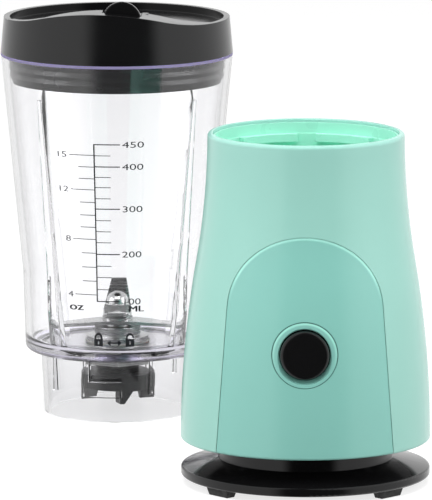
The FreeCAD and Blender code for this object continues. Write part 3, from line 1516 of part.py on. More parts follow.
def check_and_write():
    DOC.recompute()
    faults = []
    for item in DOC.Objects:
        if "Invalid" in item.State or "Error" in item.State:
            owners = [owner.Label for owner in item.InList]
            faults.append("%s in %s has failed" % (item.Name, ", ".join(owners)))
        elif item.TypeId == "PartDesign::Pocket" and item.Shape.Volume >= item.BaseFeature.Shape.Volume:
            faults.append("%s cuts nothing" % item.Name)
    for item in PIECES:
        if item.Shape.isNull() or not item.Shape.isValid():
            faults.append("%s has no valid shape" % item.Label)
    if faults:
        raise RuntimeError("; ".join(faults))
    os.makedirs("parts", exist_ok=True)
    for item in PIECES:
        item.Shape.exportStep(os.path.join("parts", item.Label + ".step"))
        box = item.Shape.BoundBox
        print("%-22s %2d solids %10.1f mm3  z %6.1f to %6.1f" % (
            item.Label, len(item.Shape.Solids), item.Shape.Volume, box.ZMin, box.ZMax))


make_all()
check_and_write()
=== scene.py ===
# %% [markdown]
# # A single-serve blender and its travel jar
# A mint motor base stands in front, and its clear jar stands behind it to the left.
# The solid model already has every shape with a size that matters, so it is loaded as a
# frame that never changes. This lesson adds the camera, the light, the finishes and the
# measuring marks on the jar.

# %% Load the frame
import math

import bmesh
import bpy
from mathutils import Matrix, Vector
from mathutils.bvhtree import BVHTree


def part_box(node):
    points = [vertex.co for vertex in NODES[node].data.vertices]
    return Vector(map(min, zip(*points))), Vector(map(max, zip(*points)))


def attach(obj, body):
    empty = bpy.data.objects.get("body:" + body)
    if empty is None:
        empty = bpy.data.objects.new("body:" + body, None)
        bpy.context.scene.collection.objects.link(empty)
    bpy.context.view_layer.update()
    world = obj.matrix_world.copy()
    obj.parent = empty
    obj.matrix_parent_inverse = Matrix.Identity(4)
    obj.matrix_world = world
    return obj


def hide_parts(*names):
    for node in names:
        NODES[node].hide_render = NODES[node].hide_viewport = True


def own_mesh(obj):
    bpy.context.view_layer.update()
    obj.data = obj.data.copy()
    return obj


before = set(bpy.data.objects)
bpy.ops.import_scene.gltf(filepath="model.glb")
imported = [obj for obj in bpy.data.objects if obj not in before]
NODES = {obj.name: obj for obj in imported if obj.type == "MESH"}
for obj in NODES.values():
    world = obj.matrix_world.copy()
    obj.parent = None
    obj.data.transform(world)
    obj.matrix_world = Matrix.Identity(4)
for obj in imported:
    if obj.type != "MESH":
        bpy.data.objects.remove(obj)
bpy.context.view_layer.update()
MM = 0.001
print("nodes loaded:", len(NODES))

# %% [markdown]
# ## The camera
# A long lens from far away keeps upright edges upright, as a product picture does. The
# place and the tilt were fitted to the object's edges. The sensor's width is the
# picture's long side, which is its height here.

# %% Camera
CAMERA_PLACE = (0.055825, -2.566425, 0.5081)
CAMERA_TILT = (80.562, 0.0, 1.191)
PICTURE_TALL = 500
FOCAL_PIXELS = 6311.4
SENSOR = 36.0

bpy.ops.object.select_all(action="DESELECT")
tilt = [math.radians(turn) for turn in CAMERA_TILT]
bpy.ops.object.camera_add(location=CAMERA_PLACE, rotation=tilt)
camera = bpy.context.object
camera.data.sensor_width = SENSOR
camera.data.lens = FOCAL_PIXELS * SENSOR / PICTURE_TALL
bpy.context.scene.camera = camera
print("lens:", round(camera.data.lens, 1), "mm")

# %% [markdown]
# ## Stage and light
# Two large soft boxes stand to the left and right, and a third hangs above. The studio is
# dark straight behind the camera and bright to both sides of it, so gloss black shows a
# dark middle between two grey sides. The lamps only light the object; what it mirrors is
# the room. The room is white to the camera and through the clear jar. A ray that turned
# round inside the jar's wall and left it to the side sees a pale floor, so that the wall
# stays clear.

# %% Stage and light
FLOOR_WIDE = 14.0
FLOOR_COLOUR = (0.42, 0.42, 0.42, 1.0)
FLOOR_LIFT = 0.76
FLOOR_MIRRORED = (0.18, 0.18, 0.18, 1.0)
FLOOR_ROUGH = 0.9
WHITE = (1.0, 1.0, 1.0, 1.0)
DARK_MIDDLE = math.radians(8)
DARK_EDGE = math.radians(24)
BRIGHT_EDGE = math.radians(42)
MIRROR_DARK, MIRROR_BRIGHT = 0.04, 1.0
LIGHT_DARK, LIGHT_BRIGHT = 0.08, 0.40
INSIDE_WALL = 0.12
WALL_CLEAR = 0.8
WALL_PASSES, WALL_PASSES_SPREAD = 2.0, 1.2
MIDDLE = (0.0, 0.0, 0.08)
# Each soft box: name, place, width, height and power in watts.
SOFT_BOXES = (
    ("soft_box_left", (-2.1, -0.7, 0.9), 1.6, 1.8, 22.5),
    ("soft_box_right", (2.1, -0.6, 0.9), 1.6, 1.8, 23.5),
    ("soft_box_above", (0.0, -0.45, 1.0), 0.8, 0.7, 9.0))


def node_of(tree, kind, **values):
    """Add a node; a value is a socket's setting, or a property if no socket has that name."""
    node = tree.nodes.new(kind)
    for name, value in values.items():
        if hasattr(node, name):
            setattr(node, name, value)
        else:
            node.inputs[name.replace("_", " ")].default_value = value
    return node


def depth_mask(tree, path, *kinds):
    """1 once the ray has bounced in any of these ways, else 0."""
    total = path.outputs[kinds[0] + " Depth"]
    for kind in kinds[1:]:
        add = node_of(tree, "ShaderNodeMath", operation="ADD")
        tree.links.new(total, add.inputs[0])
        tree.links.new(path.outputs[kind + " Depth"], add.inputs[1])
        total = add.outputs[0]
    mask = node_of(tree, "ShaderNodeMath", operation="MINIMUM")
    mask.inputs[1].default_value = 1.0
    tree.links.new(total, mask.inputs[0])
    return mask.outputs[0]


def seen_directly(tree, path):
    """1 for what the eye sees straight or through clear walls, else 0."""
    straight = node_of(tree, "ShaderNodeMath", operation="SUBTRACT")
    straight.inputs[0].default_value = 1.0
    tree.links.new(depth_mask(tree, path, "Diffuse", "Glossy"), straight.inputs[1])
    return straight.outputs[0]


def side_share(tree, coordinate):
    """0 straight behind the camera, 1 to its sides and beyond: by the ray's way for the
    room (Generated), by the place for the floor (Object)."""
    way = node_of(tree, "ShaderNodeTexCoord")
    parts = node_of(tree, "ShaderNodeSeparateXYZ")
    forward = node_of(tree, "ShaderNodeMath", operation="MULTIPLY")
    turn = node_of(tree, "ShaderNodeMath", operation="ARCTAN2")
    middle = node_of(tree, "ShaderNodeMath", operation="SUBTRACT")
    spread = node_of(tree, "ShaderNodeMath", operation="ABSOLUTE")
    share = node_of(tree, "ShaderNodeMapRange", interpolation_type="SMOOTHSTEP")
    forward.inputs[1].default_value = -1.0
    middle.inputs[1].default_value = DARK_MIDDLE
    share.inputs["From Min"].default_value = DARK_EDGE
    share.inputs["From Max"].default_value = BRIGHT_EDGE
    tree.links.new(way.outputs[coordinate], parts.inputs[0])
    tree.links.new(parts.outputs["Y"], forward.inputs[0])
    tree.links.new(parts.outputs["X"], turn.inputs[0])
    tree.links.new(forward.outputs[0], turn.inputs[1])
    tree.links.new(turn.outputs[0], middle.inputs[0])
    tree.links.new(middle.outputs[0], spread.inputs[0])
    tree.links.new(spread.outputs[0], share.inputs["Value"])
    return share.outputs[0]


def seen_in_wall(tree, path):
    """As seen_directly, and WALL_CLEAR for a ray that turned round inside a clear wall and
    came out to the side or to the back."""
    in_wall = node_of(tree, "ShaderNodeMath", operation="COMPARE")
    in_wall.inputs[1].default_value = WALL_PASSES
    in_wall.inputs[2].default_value = WALL_PASSES_SPREAD
    tree.links.new(path.outputs["Transmission Depth"], in_wall.inputs[0])
    share = node_of(tree, "ShaderNodeMath", operation="MULTIPLY")
    share.inputs[1].default_value = WALL_CLEAR
    tree.links.new(in_wall.outputs[0], share.inputs[0])
    beside = node_of(tree, "ShaderNodeMath", operation="MULTIPLY")
    tree.links.new(share.outputs[0], beside.inputs[0])
    tree.links.new(side_share(tree, "Object"), beside.inputs[1])
    turned = node_of(tree, "ShaderNodeMath", operation="MULTIPLY_ADD")
    tree.links.new(depth_mask(tree, path, "Glossy"), turned.inputs[0])
    tree.links.new(beside.outputs[0], turned.inputs[1])
    tree.links.new(seen_directly(tree, path), turned.inputs[2])
    return turned.outputs[0]


def make_floor():
    """A wide matt floor, white where the eye sees it."""
    bpy.ops.mesh.primitive_plane_add(size=FLOOR_WIDE)
    floor = bpy.context.object
    floor.name = "studio_floor"
    material = bpy.data.materials.new("Studio floor")
    material.use_nodes = True
    tree = material.node_tree
    shader = tree.nodes["Principled BSDF"]
    shader.inputs["Roughness"].default_value = FLOOR_ROUGH
    shader.inputs["Specular IOR Level"].default_value = 0.0
    path = node_of(tree, "ShaderNodeLightPath")
    tone = node_of(tree, "ShaderNodeMix", data_type="RGBA")
    tone.inputs["A"].default_value = FLOOR_COLOUR
    tone.inputs["B"].default_value = FLOOR_MIRRORED
    tree.links.new(depth_mask(tree, path, "Glossy"), tone.inputs["Factor"])
    tree.links.new(tone.outputs["Result"], shader.inputs["Base Color"])
    seen = seen_in_wall(tree, path)
    lift = node_of(tree, "ShaderNodeMath", operation="MULTIPLY")
    lift.inputs[1].default_value = FLOOR_LIFT
    tree.links.new(seen, lift.inputs[0])
    shader.inputs["Emission Color"].default_value = WHITE
    tree.links.new(lift.outputs[0], shader.inputs["Emission Strength"])
    floor.data.materials.append(material)
    floor.visible_glossy = False


def make_room():
    """The world's light, by how the ray has travelled."""
    world = bpy.data.worlds.new("Studio room")
    bpy.context.scene.world = world
    world.use_nodes = True
    tree = world.node_tree
    back = tree.nodes["Background"]
    back.inputs["Color"].default_value = WHITE
    share = side_share(tree, "Generated")
    light = node_of(tree, "ShaderNodeMix", data_type="FLOAT", A=LIGHT_DARK, B=LIGHT_BRIGHT)
    mirror = node_of(tree, "ShaderNodeMix", data_type="FLOAT", B=MIRROR_BRIGHT)
    path = node_of(tree, "ShaderNodeLightPath")
    dark = node_of(tree, "ShaderNodeMix", data_type="FLOAT", A=MIRROR_DARK, B=INSIDE_WALL)
    tree.links.new(depth_mask(tree, path, "Transmission"), dark.inputs["Factor"])
    tree.links.new(dark.outputs[0], mirror.inputs["A"])
    glossy = node_of(tree, "ShaderNodeMix", data_type="FLOAT")
    final = node_of(tree, "ShaderNodeMix", data_type="FLOAT", B=1.0)
    tree.links.new(share, light.inputs["Factor"])
    tree.links.new(share, mirror.inputs["Factor"])
    tree.links.new(depth_mask(tree, path, "Glossy"), glossy.inputs["Factor"])
    tree.links.new(light.outputs[0], glossy.inputs["A"])
    tree.links.new(mirror.outputs[0], glossy.inputs["B"])
    tree.links.new(seen_directly(tree, path), final.inputs["Factor"])
    tree.links.new(glossy.outputs[0], final.inputs["A"])
    tree.links.new(final.outputs[0], back.inputs["Strength"])


def soft_box(name, place, wide, tall, power):
    """A rectangular lamp that looks at the object."""
    bpy.ops.object.light_add(type="AREA", location=place)
    lamp = bpy.context.object
    lamp.name = name
    lamp.data.shape = "RECTANGLE"
    lamp.data.size = wide
    lamp.data.size_y = tall
    lamp.data.energy = power
    lamp.visible_glossy = False
    aim = Vector(MIDDLE) - Vector(place)
    lamp.rotation_euler = aim.to_track_quat("-Z", "Y").to_euler()


make_floor()
make_room()
for box in SOFT_BOXES:
    soft_box(*box)
bpy.context.scene.view_settings.view_transform = "Standard"
print("stage is in place, soft boxes:", len(SOFT_BOXES))

# %% [markdown]
# ## Effects that finishes share
# Each effect is a node group with named inputs. It is built once and placed in every
# finish that needs it, with that finish's own numbers. A group gives only colours, values
# and normals; the shader stays in the finish.
#
# **Moulded skin** is the faint waviness and uneven shine of injection moulded plastic.
# **Turned marks** are the fine rings that a lathe leaves. **Tint drift** varies a colour
# a little from place to place. **Soft edges** rounds each sharp edge to the eye, as a
# real moulding's edge is.

# %% Shared effects
WAVE_RANGE = (0.35, 0.65)
DRIFT_RANGE = (0.3, 0.7)


def new_group(name, inputs, outputs):
    """A node group; inputs are (name, default) and outputs are (name, kind)."""
    group = bpy.data.node_groups.new(name, "ShaderNodeTree")
    for title, default in inputs:
        kind = "NodeSocketColor" if isinstance(default, tuple) else "NodeSocketFloat"
        socket = group.interface.new_socket(name=title, in_out="INPUT", socket_type=kind)
        socket.default_value = default
    for title, kind in outputs:
        group.interface.new_socket(name=title, in_out="OUTPUT", socket_type=kind)
    start = group.nodes.new("NodeGroupInput")
    end = group.nodes.new("NodeGroupOutput")
    return group, start, end


def object_noise(group, start, scale_name, detail):
    """Noise in object coordinates; its scale is the group's input."""
    place = node_of(group, "ShaderNodeTexCoord")
    noise = node_of(group, "ShaderNodeTexNoise", Detail=detail)
    group.links.new(place.outputs["Object"], noise.inputs["Vector"])
    group.links.new(start.outputs[scale_name], noise.inputs["Scale"])
    return noise.outputs["Fac"]


def moulded_skin():
    """The group for moulded plastic: a wave with fine grain over it."""
    group, start, end = new_group(
        "Moulded skin",
        [("Wave Scale", 120.0), ("Grain Scale", 2500.0), ("Grain Share", 0.2),
         ("Shine Low", 0.2), ("Shine High", 0.3)],
        [("Height", "NodeSocketFloat"), ("Roughness", "NodeSocketFloat")])
    wave = object_noise(group, start, "Wave Scale", 2.0)
    grain = object_noise(group, start, "Grain Scale", 3.0)
    height = node_of(group, "ShaderNodeMix", data_type="FLOAT")
    group.links.new(start.outputs["Grain Share"], height.inputs["Factor"])
    group.links.new(wave, height.inputs["A"])
    group.links.new(grain, height.inputs["B"])
    shine = node_of(group, "ShaderNodeMapRange")
    shine.inputs["From Min"].default_value = WAVE_RANGE[0]
    shine.inputs["From Max"].default_value = WAVE_RANGE[1]
    group.links.new(wave, shine.inputs["Value"])
    group.links.new(start.outputs["Shine Low"], shine.inputs["To Min"])
    group.links.new(start.outputs["Shine High"], shine.inputs["To Max"])
    group.links.new(height.outputs[0], end.inputs["Height"])
    group.links.new(shine.outputs[0], end.inputs["Roughness"])
    return group


def tint_drift():
    """The group that drifts between two colours."""
    group, start, end = new_group(
        "Tint drift",
        [("First", (0.5, 0.5, 0.5, 1.0)), ("Second", (0.5, 0.5, 0.5, 1.0)), ("Scale", 30.0)],
        [("Color", "NodeSocketColor")])
    drift = object_noise(group, start, "Scale", 3.0)
    spread = node_of(group, "ShaderNodeMapRange")
    spread.inputs["From Min"].default_value = DRIFT_RANGE[0]
    spread.inputs["From Max"].default_value = DRIFT_RANGE[1]
    mix = node_of(group, "ShaderNodeMix", data_type="RGBA")
    group.links.new(drift, spread.inputs["Value"])
    group.links.new(spread.outputs[0], mix.inputs["Factor"])
    group.links.new(start.outputs["First"], mix.inputs["A"])
    group.links.new(start.outputs["Second"], mix.inputs["B"])
    group.links.new(mix.outputs["Result"], end.inputs["Color"])
    return group


def turned_marks():
    """The group for turned metal: noise that varies only along the axis."""
    group, start, end = new_group(
        "Turned marks",
        [("Ring Scale", 900.0), ("Shine Low", 0.2), ("Shine High", 0.35)],
        [("Height", "NodeSocketFloat"), ("Roughness", "NodeSocketFloat")])
    place = node_of(group, "ShaderNodeTexCoord")
    parts = node_of(group, "ShaderNodeSeparateXYZ")
    join = node_of(group, "ShaderNodeCombineXYZ")
    noise = node_of(group, "ShaderNodeTexNoise", Detail=4.0)
    shine = node_of(group, "ShaderNodeMapRange")
    group.links.new(place.outputs["Object"], parts.inputs[0])
    group.links.new(parts.outputs["Z"], join.inputs["Z"])
    group.links.new(join.outputs[0], noise.inputs["Vector"])
    group.links.new(start.outputs["Ring Scale"], noise.inputs["Scale"])
    group.links.new(noise.outputs["Fac"], shine.inputs["Value"])
    group.links.new(start.outputs["Shine Low"], shine.inputs["To Min"])
    group.links.new(start.outputs["Shine High"], shine.inputs["To Max"])
    group.links.new(noise.outputs["Fac"], end.inputs["Height"])
    group.links.new(shine.outputs[0], end.inputs["Roughness"])
    return group


def soft_edges():
    """The group that rounds sharp edges to the eye."""
    group, start, end = new_group(
        "Soft edges", [("Radius", 0.0004)], [("Normal", "NodeSocketVector")])
    bevel = node_of(group, "ShaderNodeBevel", samples=6)
    group.links.new(start.outputs["Radius"], bevel.inputs["Radius"])
    group.links.new(bevel.outputs["Normal"], end.inputs["Normal"])
    return group


EFFECTS = {
    "skin": moulded_skin(),
    "drift": tint_drift(),
    "turned": turned_marks(),
    "edges": soft_edges()}
print("shared effects:", ", ".join(EFFECTS))

# %% [markdown]
# ## A finish from its numbers
# Most finishes differ only in colour, shine and grain, so one function puts the shared
# effects in front of a Principled shader. A finish with something of its own, such as
# wound wire or stacked sheets, adds to what this function returns. A second function
# mixes one more value over what already feeds a socket, where a mask says so.

# %% The finish maker
def effect(tree, name, **values):
    """Place a shared effect with its own numbers."""
    node = tree.nodes.new("ShaderNodeGroup")
    node.node_tree = EFFECTS[name]
    for title, value in values.items():
        node.inputs[title.replace("_", " ")].default_value = value
    return node


def tinted(colour, share):
    """The colour made lighter (share above 1) or darker."""
    return tuple(min(part * share, 1.0) for part in colour[:3]) + (1.0,)


def finish_of(name, colour, shine, skin=None, depth=0.00002, drift=0.04, edge=0.0003,
              drift_scale=25.0, turned=False, **sockets):
    """A material: colour and shine that vary, a bump, and rounded edges."""
    material = bpy.data.materials.new(name)
    material.use_nodes = True
    tree = material.node_tree
    shader = tree.nodes["Principled BSDF"]
    tint = effect(tree, "drift", First=tinted(colour, 1 - drift),
                  Second=tinted(colour, 1 + drift), Scale=drift_scale)
    tree.links.new(tint.outputs["Color"], shader.inputs["Base Color"])
    skin_node = effect(tree, "turned" if turned else "skin", Shine_Low=shine[0],
                       Shine_High=shine[1], **(skin or {}))
    tree.links.new(skin_node.outputs["Roughness"], shader.inputs["Roughness"])
    bump = node_of(tree, "ShaderNodeBump")
    bump.inputs["Distance"].default_value = depth
    tree.links.new(skin_node.outputs["Height"], bump.inputs["Height"])
    if edge:
        rounded = effect(tree, "edges", Radius=edge)
        tree.links.new(rounded.outputs["Normal"], bump.inputs["Normal"])
    tree.links.new(bump.outputs["Normal"], shader.inputs["Normal"])
    for title, value in sockets.items():
        shader.inputs[title.replace("_", " ")].default_value = value
    return material


def mix_by(tree, mask, socket, value):
    """Mix a colour or a number over what feeds a socket, by a mask."""
    kind = "RGBA" if isinstance(value, tuple) else "FLOAT"
    mix = node_of(tree, "ShaderNodeMix", data_type=kind, B=value)
    tree.links.new(mask, mix.inputs["Factor"])
    if socket.is_linked:
        tree.links.new(socket.links[0].from_socket, mix.inputs["A"])
    else:
        mix.inputs["A"].default_value = socket.default_value
    tree.links.new(mix.outputs["Result"], socket)


def dress(slot_name, material, *names):
    """Give CAD nodes their finish."""
    for name in names:
        NODES[name].data.materials.clear()
        NODES[name].data.materials.append(material)
    print(slot_name, "->", len(names), "nodes")


print("a finish takes its effects from:", ", ".join(EFFECTS))

# %% [markdown]
# ## Mint mouldings
# The shell, the arch panel, the button's ring and the inside of the collar are gloss ABS,
# coloured all through. Each has its own finish: the panel and the ring are darker than the
# shell, and the collar's inside is brighter and greener as painted light, for the strong
# light from above that falls into the collar.
#
# The round top edges of the panel and the ring catch the light from above, so a painted
# highlight makes their finishes paler in a thin line there. A thin dark line at the ring's
# outer edge is painted shade in the seam where it sits in the panel.

# %% Mint mouldings
MINT_SHELL = (0.348, 0.681, 0.595)
MINT_PANEL = (0.262, 0.605, 0.530)
# Lighter and greener than the shell: painted light from above in the collar.
MINT_WELL_LIT = (0.400, 0.855, 0.695)
MINT_SHINE = {"Specular_IOR_Level": 0.5, "Coat_Weight": 0.15, "Coat_Roughness": 0.08}
MINT_SKIN = {"Wave_Scale": 90.0, "Grain_Share": 0.12}
MINT_DRIFT = 0.012
# The arch's round head: its centre's height and its radius.
ARCH_Z, ARCH_RADIUS = 0.07475, 0.0309
# A line's start and end, in from the circle, and the heights between which it fades in.
ARCH_LINE, ARCH_RISE = (0.0014, 0.0002), (0.078, 0.092)
RING_LINE, RING_RISE = (0.0015, 0.0007), (0.050, 0.070)
# The seam's line is painted shade.
SEAM_SHADE_LINE, SEAM_SHADE_RISE = (0.0004, 0.0002), (0.0, 0.001)
# Colours of the painted highlights on the top edges and of the painted shade in the ring's seam.
ARCH_PAINTED_HIGHLIGHT = (0.48, 0.98, 0.86, 1.0)
RING_PAINTED_HIGHLIGHT = (0.42, 0.88, 0.76, 1.0)
SEAM_PAINTED_SHADE = (0.06, 0.20, 0.17, 1.0)


def add_rim_glow(material, centre, radius, width, rise, colour):
    """A painted line of light or shade inside a circle seen from the front, that fades in from low
    to high.
    """
    tree = material.node_tree
    shader = tree.nodes["Principled BSDF"]
    place = node_of(tree, "ShaderNodeTexCoord")
    parts = node_of(tree, "ShaderNodeSeparateXYZ")
    away = node_of(tree, "ShaderNodeVectorMath", operation="SUBTRACT")
    away.inputs[1].default_value = (centre[0], 0.0, centre[1])
    level = node_of(tree, "ShaderNodeVectorMath", operation="MULTIPLY")
    level.inputs[1].default_value = (1.0, 0.0, 1.0)
    reach = node_of(tree, "ShaderNodeVectorMath", operation="LENGTH")
    near = node_of(tree, "ShaderNodeMapRange", interpolation_type="SMOOTHSTEP")
    near.inputs["From Min"].default_value = radius - width[0]
    near.inputs["From Max"].default_value = radius - width[1]
    high = node_of(tree, "ShaderNodeMapRange", interpolation_type="SMOOTHSTEP")
    high.inputs["From Min"].default_value = rise[0]
    high.inputs["From Max"].default_value = rise[1]
    both = node_of(tree, "ShaderNodeMath", operation="MULTIPLY")
    tree.links.new(place.outputs["Object"], away.inputs[0])
    tree.links.new(away.outputs[0], level.inputs[0])
    tree.links.new(level.outputs[0], reach.inputs[0])
    tree.links.new(reach.outputs["Value"], near.inputs["Value"])
    tree.links.new(place.outputs["Object"], parts.inputs[0])
    tree.links.new(parts.outputs["Z"], high.inputs["Value"])
    tree.links.new(near.outputs[0], both.inputs[0])
    tree.links.new(high.outputs[0], both.inputs[1])
    mix_by(tree, both.outputs[0], shader.inputs["Base Color"], colour)


def mint(name, colour, shine):
    """A finish of the mint family."""
    return finish_of(name, colour, shine, MINT_SKIN, drift=MINT_DRIFT, **MINT_SHINE)


mint_shell = mint("Mint shell", MINT_SHELL, (0.20, 0.27))
mint_panel = mint("Mint panel", MINT_PANEL, (0.20, 0.27))
mint_ring = mint("Mint ring", MINT_PANEL, (0.18, 0.24))
mint_well = mint("Mint well", MINT_WELL_LIT, (0.26, 0.34))
BASE_X = sum(corner[0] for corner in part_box("button")) / 2
RING_LEAST, RING_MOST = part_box("button_ring")
RING_Z = (RING_LEAST[2] + RING_MOST[2]) / 2
RING_RADIUS = (RING_MOST[0] - RING_LEAST[0]) / 2
# Painted highlights along the top edges of the arch and the ring.
add_rim_glow(mint_panel, (BASE_X, ARCH_Z), ARCH_RADIUS, ARCH_LINE, ARCH_RISE, ARCH_PAINTED_HIGHLIGHT)
add_rim_glow(mint_ring, (BASE_X, RING_Z), RING_RADIUS, RING_LINE, RING_RISE, RING_PAINTED_HIGHLIGHT)
# Painted shade in the seam round the ring's outer edge.
add_rim_glow(mint_ring, (BASE_X, RING_Z), RING_RADIUS, SEAM_SHADE_LINE, SEAM_SHADE_RISE, SEAM_PAINTED_SHADE)
print("ring radius:", round(RING_RADIUS / MM, 2), "mm at height", round(RING_Z / MM, 2))
dress("mint_shell", mint_shell, "housing")
dress("mint_panel", mint_panel, "front_panel")
dress("mint_ring", mint_ring, "button_ring")
dress("mint_well", mint_well, "docking_well")

# %% [markdown]
# ## Black mouldings
# The foot disc, the button and the lid are gloss black: nearly no colour of their own, so
# all that shows is what they mirror. The feet, the cord's bush and the seals are rubber,
# with a fine grain and little shine.

# %% Black mouldings
BLACK = (0.004, 0.004, 0.0043)
GLOSS_SKIN = {"Wave_Scale": 70.0, "Grain_Share": 0.08}
black_gloss = finish_of("Foot gloss black", BLACK, (0.10, 0.17), GLOSS_SKIN, drift=0.1,
                        Specular_IOR_Level=0.36)
button_black = finish_of("Button gloss black", BLACK, (0.16, 0.22), GLOSS_SKIN, drift=0.1,
                         edge=0.0006, Specular_IOR_Level=0.4)
lid_black = finish_of("Lid gloss black", BLACK, (0.13, 0.20), GLOSS_SKIN, drift=0.1,
                      edge=0.0005, Specular_IOR_Level=0.5)
flap_black = finish_of("Flap gloss black", BLACK, (0.13, 0.20), GLOSS_SKIN, drift=0.1,
                       edge=0.0011, Specular_IOR_Level=0.5)
RUBBER_SKIN = {"Wave_Scale": 600.0, "Grain_Scale": 4000.0, "Grain_Share": 0.6}
foot_rubber = finish_of("Foot rubber", (0.028, 0.028, 0.028), (0.62, 0.8), RUBBER_SKIN,
                        depth=0.0001)
soft_black = finish_of("Soft black", (0.018, 0.018, 0.019), (0.45, 0.6), RUBBER_SKIN,
                       depth=0.00006)
seal_silicone = finish_of("Black silicone", (0.008, 0.008, 0.009), (0.20, 0.28), GLOSS_SKIN,
                          depth=0.000005, edge=0.0)
white_silicone = finish_of("White silicone", (0.76, 0.76, 0.74), (0.4, 0.5), RUBBER_SKIN,
                           Subsurface_Weight=0.1, Subsurface_Scale=0.001)
dress("black_gloss", black_gloss, "base_plate")
dress("button_black", button_black, "button")
dress("lid_black", lid_black, "lid")
dress("lid_black", flap_black, "sip_flap")
dress("foot_rubber", foot_rubber, "foot_pads", "lower_rubber_mounts", "upper_rubber_mounts")
dress("soft_black", soft_black, "cord_gland", "shaft_seal")
dress("seal_silicone", seal_silicone, "lid_seal")
dress("white_silicone", white_silicone, "hub_gasket")

# %% [markdown]
# ## Nylon and carbon
# The couplings are nylon with glass fibre in it, which shows as fine pale flecks. The
# plainer nylon pieces inside the base are matt, and the brushes are pressed carbon.

# %% Nylon and carbon
MATTE_SKIN = {"Wave_Scale": 300.0, "Grain_Scale": 3500.0, "Grain_Share": 0.5}
FLECK_CORE = 0.5


def add_flecks(material, colour, scale, share):
    """Fine flecks of a second colour, mixed over the tint."""
    tree = material.node_tree
    shader = tree.nodes["Principled BSDF"]
    place = node_of(tree, "ShaderNodeTexCoord")
    cells = node_of(tree, "ShaderNodeTexVoronoi", Scale=scale)
    fleck = node_of(tree, "ShaderNodeMapRange")
    fleck.inputs["From Min"].default_value = share
    fleck.inputs["From Max"].default_value = share * FLECK_CORE
    tree.links.new(place.outputs["Object"], cells.inputs["Vector"])
    tree.links.new(cells.outputs["Distance"], fleck.inputs["Value"])
    mix_by(tree, fleck.outputs[0], shader.inputs["Base Color"], tinted(colour, 1.0))


coupling_black = finish_of("Glass filled black nylon", (0.016, 0.017, 0.018), (0.30, 0.40),
                           MATTE_SKIN, depth=0.00001, Specular_IOR_Level=0.42)
add_flecks(coupling_black, (0.045, 0.047, 0.05), 1800.0, 0.22)
black_matte = finish_of("Matt black nylon", (0.022, 0.022, 0.024), (0.5, 0.62), MATTE_SKIN,
                        depth=0.00005)
white_nylon = finish_of("Natural nylon", (0.72, 0.71, 0.65), (0.42, 0.52), MATTE_SKIN,
                        depth=0.00004, Subsurface_Weight=0.15, Subsurface_Scale=0.001)
carbon = finish_of("Pressed carbon", (0.035, 0.035, 0.038), (0.5, 0.7), MATTE_SKIN,
                   depth=0.00008)
add_flecks(carbon, (0.12, 0.12, 0.12), 2600.0, 0.2)
dress("coupling_black", coupling_black, "drive_coupling", "driven_coupling")
dress("black_matte", black_matte, "switch", "button_guide", "slinger_washer")
dress("white_nylon", white_nylon, "switch_plunger", "cooling_fan")
dress("carbon", carbon, "carbon_brushes")

# %% [markdown]
# ## Metals
# Turned and ground pieces show fine rings across their axis, and die cast pieces have a
# dull, slightly rough skin. Each metal keeps its own colour, because a metal's colour is
# the colour of what it mirrors.

# %% Metals
def metal(name, colour, shine, ring_scale=1500.0, depth=0.00001, **more):
    """A finish of solid turned metal."""
    return finish_of(name, colour, shine, {"Ring_Scale": ring_scale}, depth=depth, turned=True,
                     drift=0.03, Metallic=1.0, **more)


bright_steel = metal("Ground stainless steel", (0.62, 0.62, 0.62), (0.16, 0.26))
blade_steel = metal("Blade steel", (0.58, 0.58, 0.585), (0.20, 0.34), 900.0)
spring_steel = metal("Zinc plated spring wire", (0.55, 0.56, 0.57), (0.24, 0.34))
screw_steel = metal("Zinc plated screws", (0.52, 0.53, 0.54), (0.26, 0.38))
hub_nut_steel = metal("Turned alloy nut", (0.66, 0.66, 0.66), (0.22, 0.34))
brass = metal("Drawn brass", (0.72, 0.50, 0.20), (0.22, 0.34))
copper_bar = metal("Bare copper bars", (0.78, 0.40, 0.24), (0.20, 0.36))
bronze = metal("Sintered bronze", (0.48, 0.34, 0.18), (0.42, 0.56), 3000.0)
cast_alloy = finish_of("Die cast alloy", (0.55, 0.55, 0.56), (0.40, 0.55),
                       {"Wave_Scale": 400.0, "Grain_Scale": 2600.0, "Grain_Share": 0.5},
                       depth=0.00012, Metallic=1.0)
dress("bright_steel", bright_steel, "motor_shaft", "blade_shaft", "thrust_washer", "blade_spacer",
      "blade_cap_nut", "flap_pin")
dress("blade_steel", blade_steel, "bearing_hub", "lower_blade", "upper_blade")
dress("screw_steel", screw_steel, "plate_screws", "motor_bolts")
dress("hub_nut_steel", hub_nut_steel, "hub_nut")
dress("brass", brass, "brush_holders")
dress("copper_bar", copper_bar, "commutator")
dress("bronze", bronze, "lower_motor_bush", "upper_motor_bush", "lower_blade_bush",
      "upper_blade_bush")
dress("cast_alloy", cast_alloy, "lower_motor_frame", "upper_motor_frame")

# %% [markdown]
# ### The button's spring
# The spring is wire wound in a helix between the button and the switch, and it shortens
# as the button goes in. This one stands for the solid model's spring, which is hidden. The
# solid model's spring can't, so this one stands for it. The Screw modifier winds a small
# circle round an axis, as a spring winder does with wire.

# %% Wind the spring
SPRING_WIRE = 0.4 * MM
SPRING_TURNS = 4
SPRING_STEPS = 36
WIRE_SIDES = 12
SMOOTH_UNDER = math.radians(50)


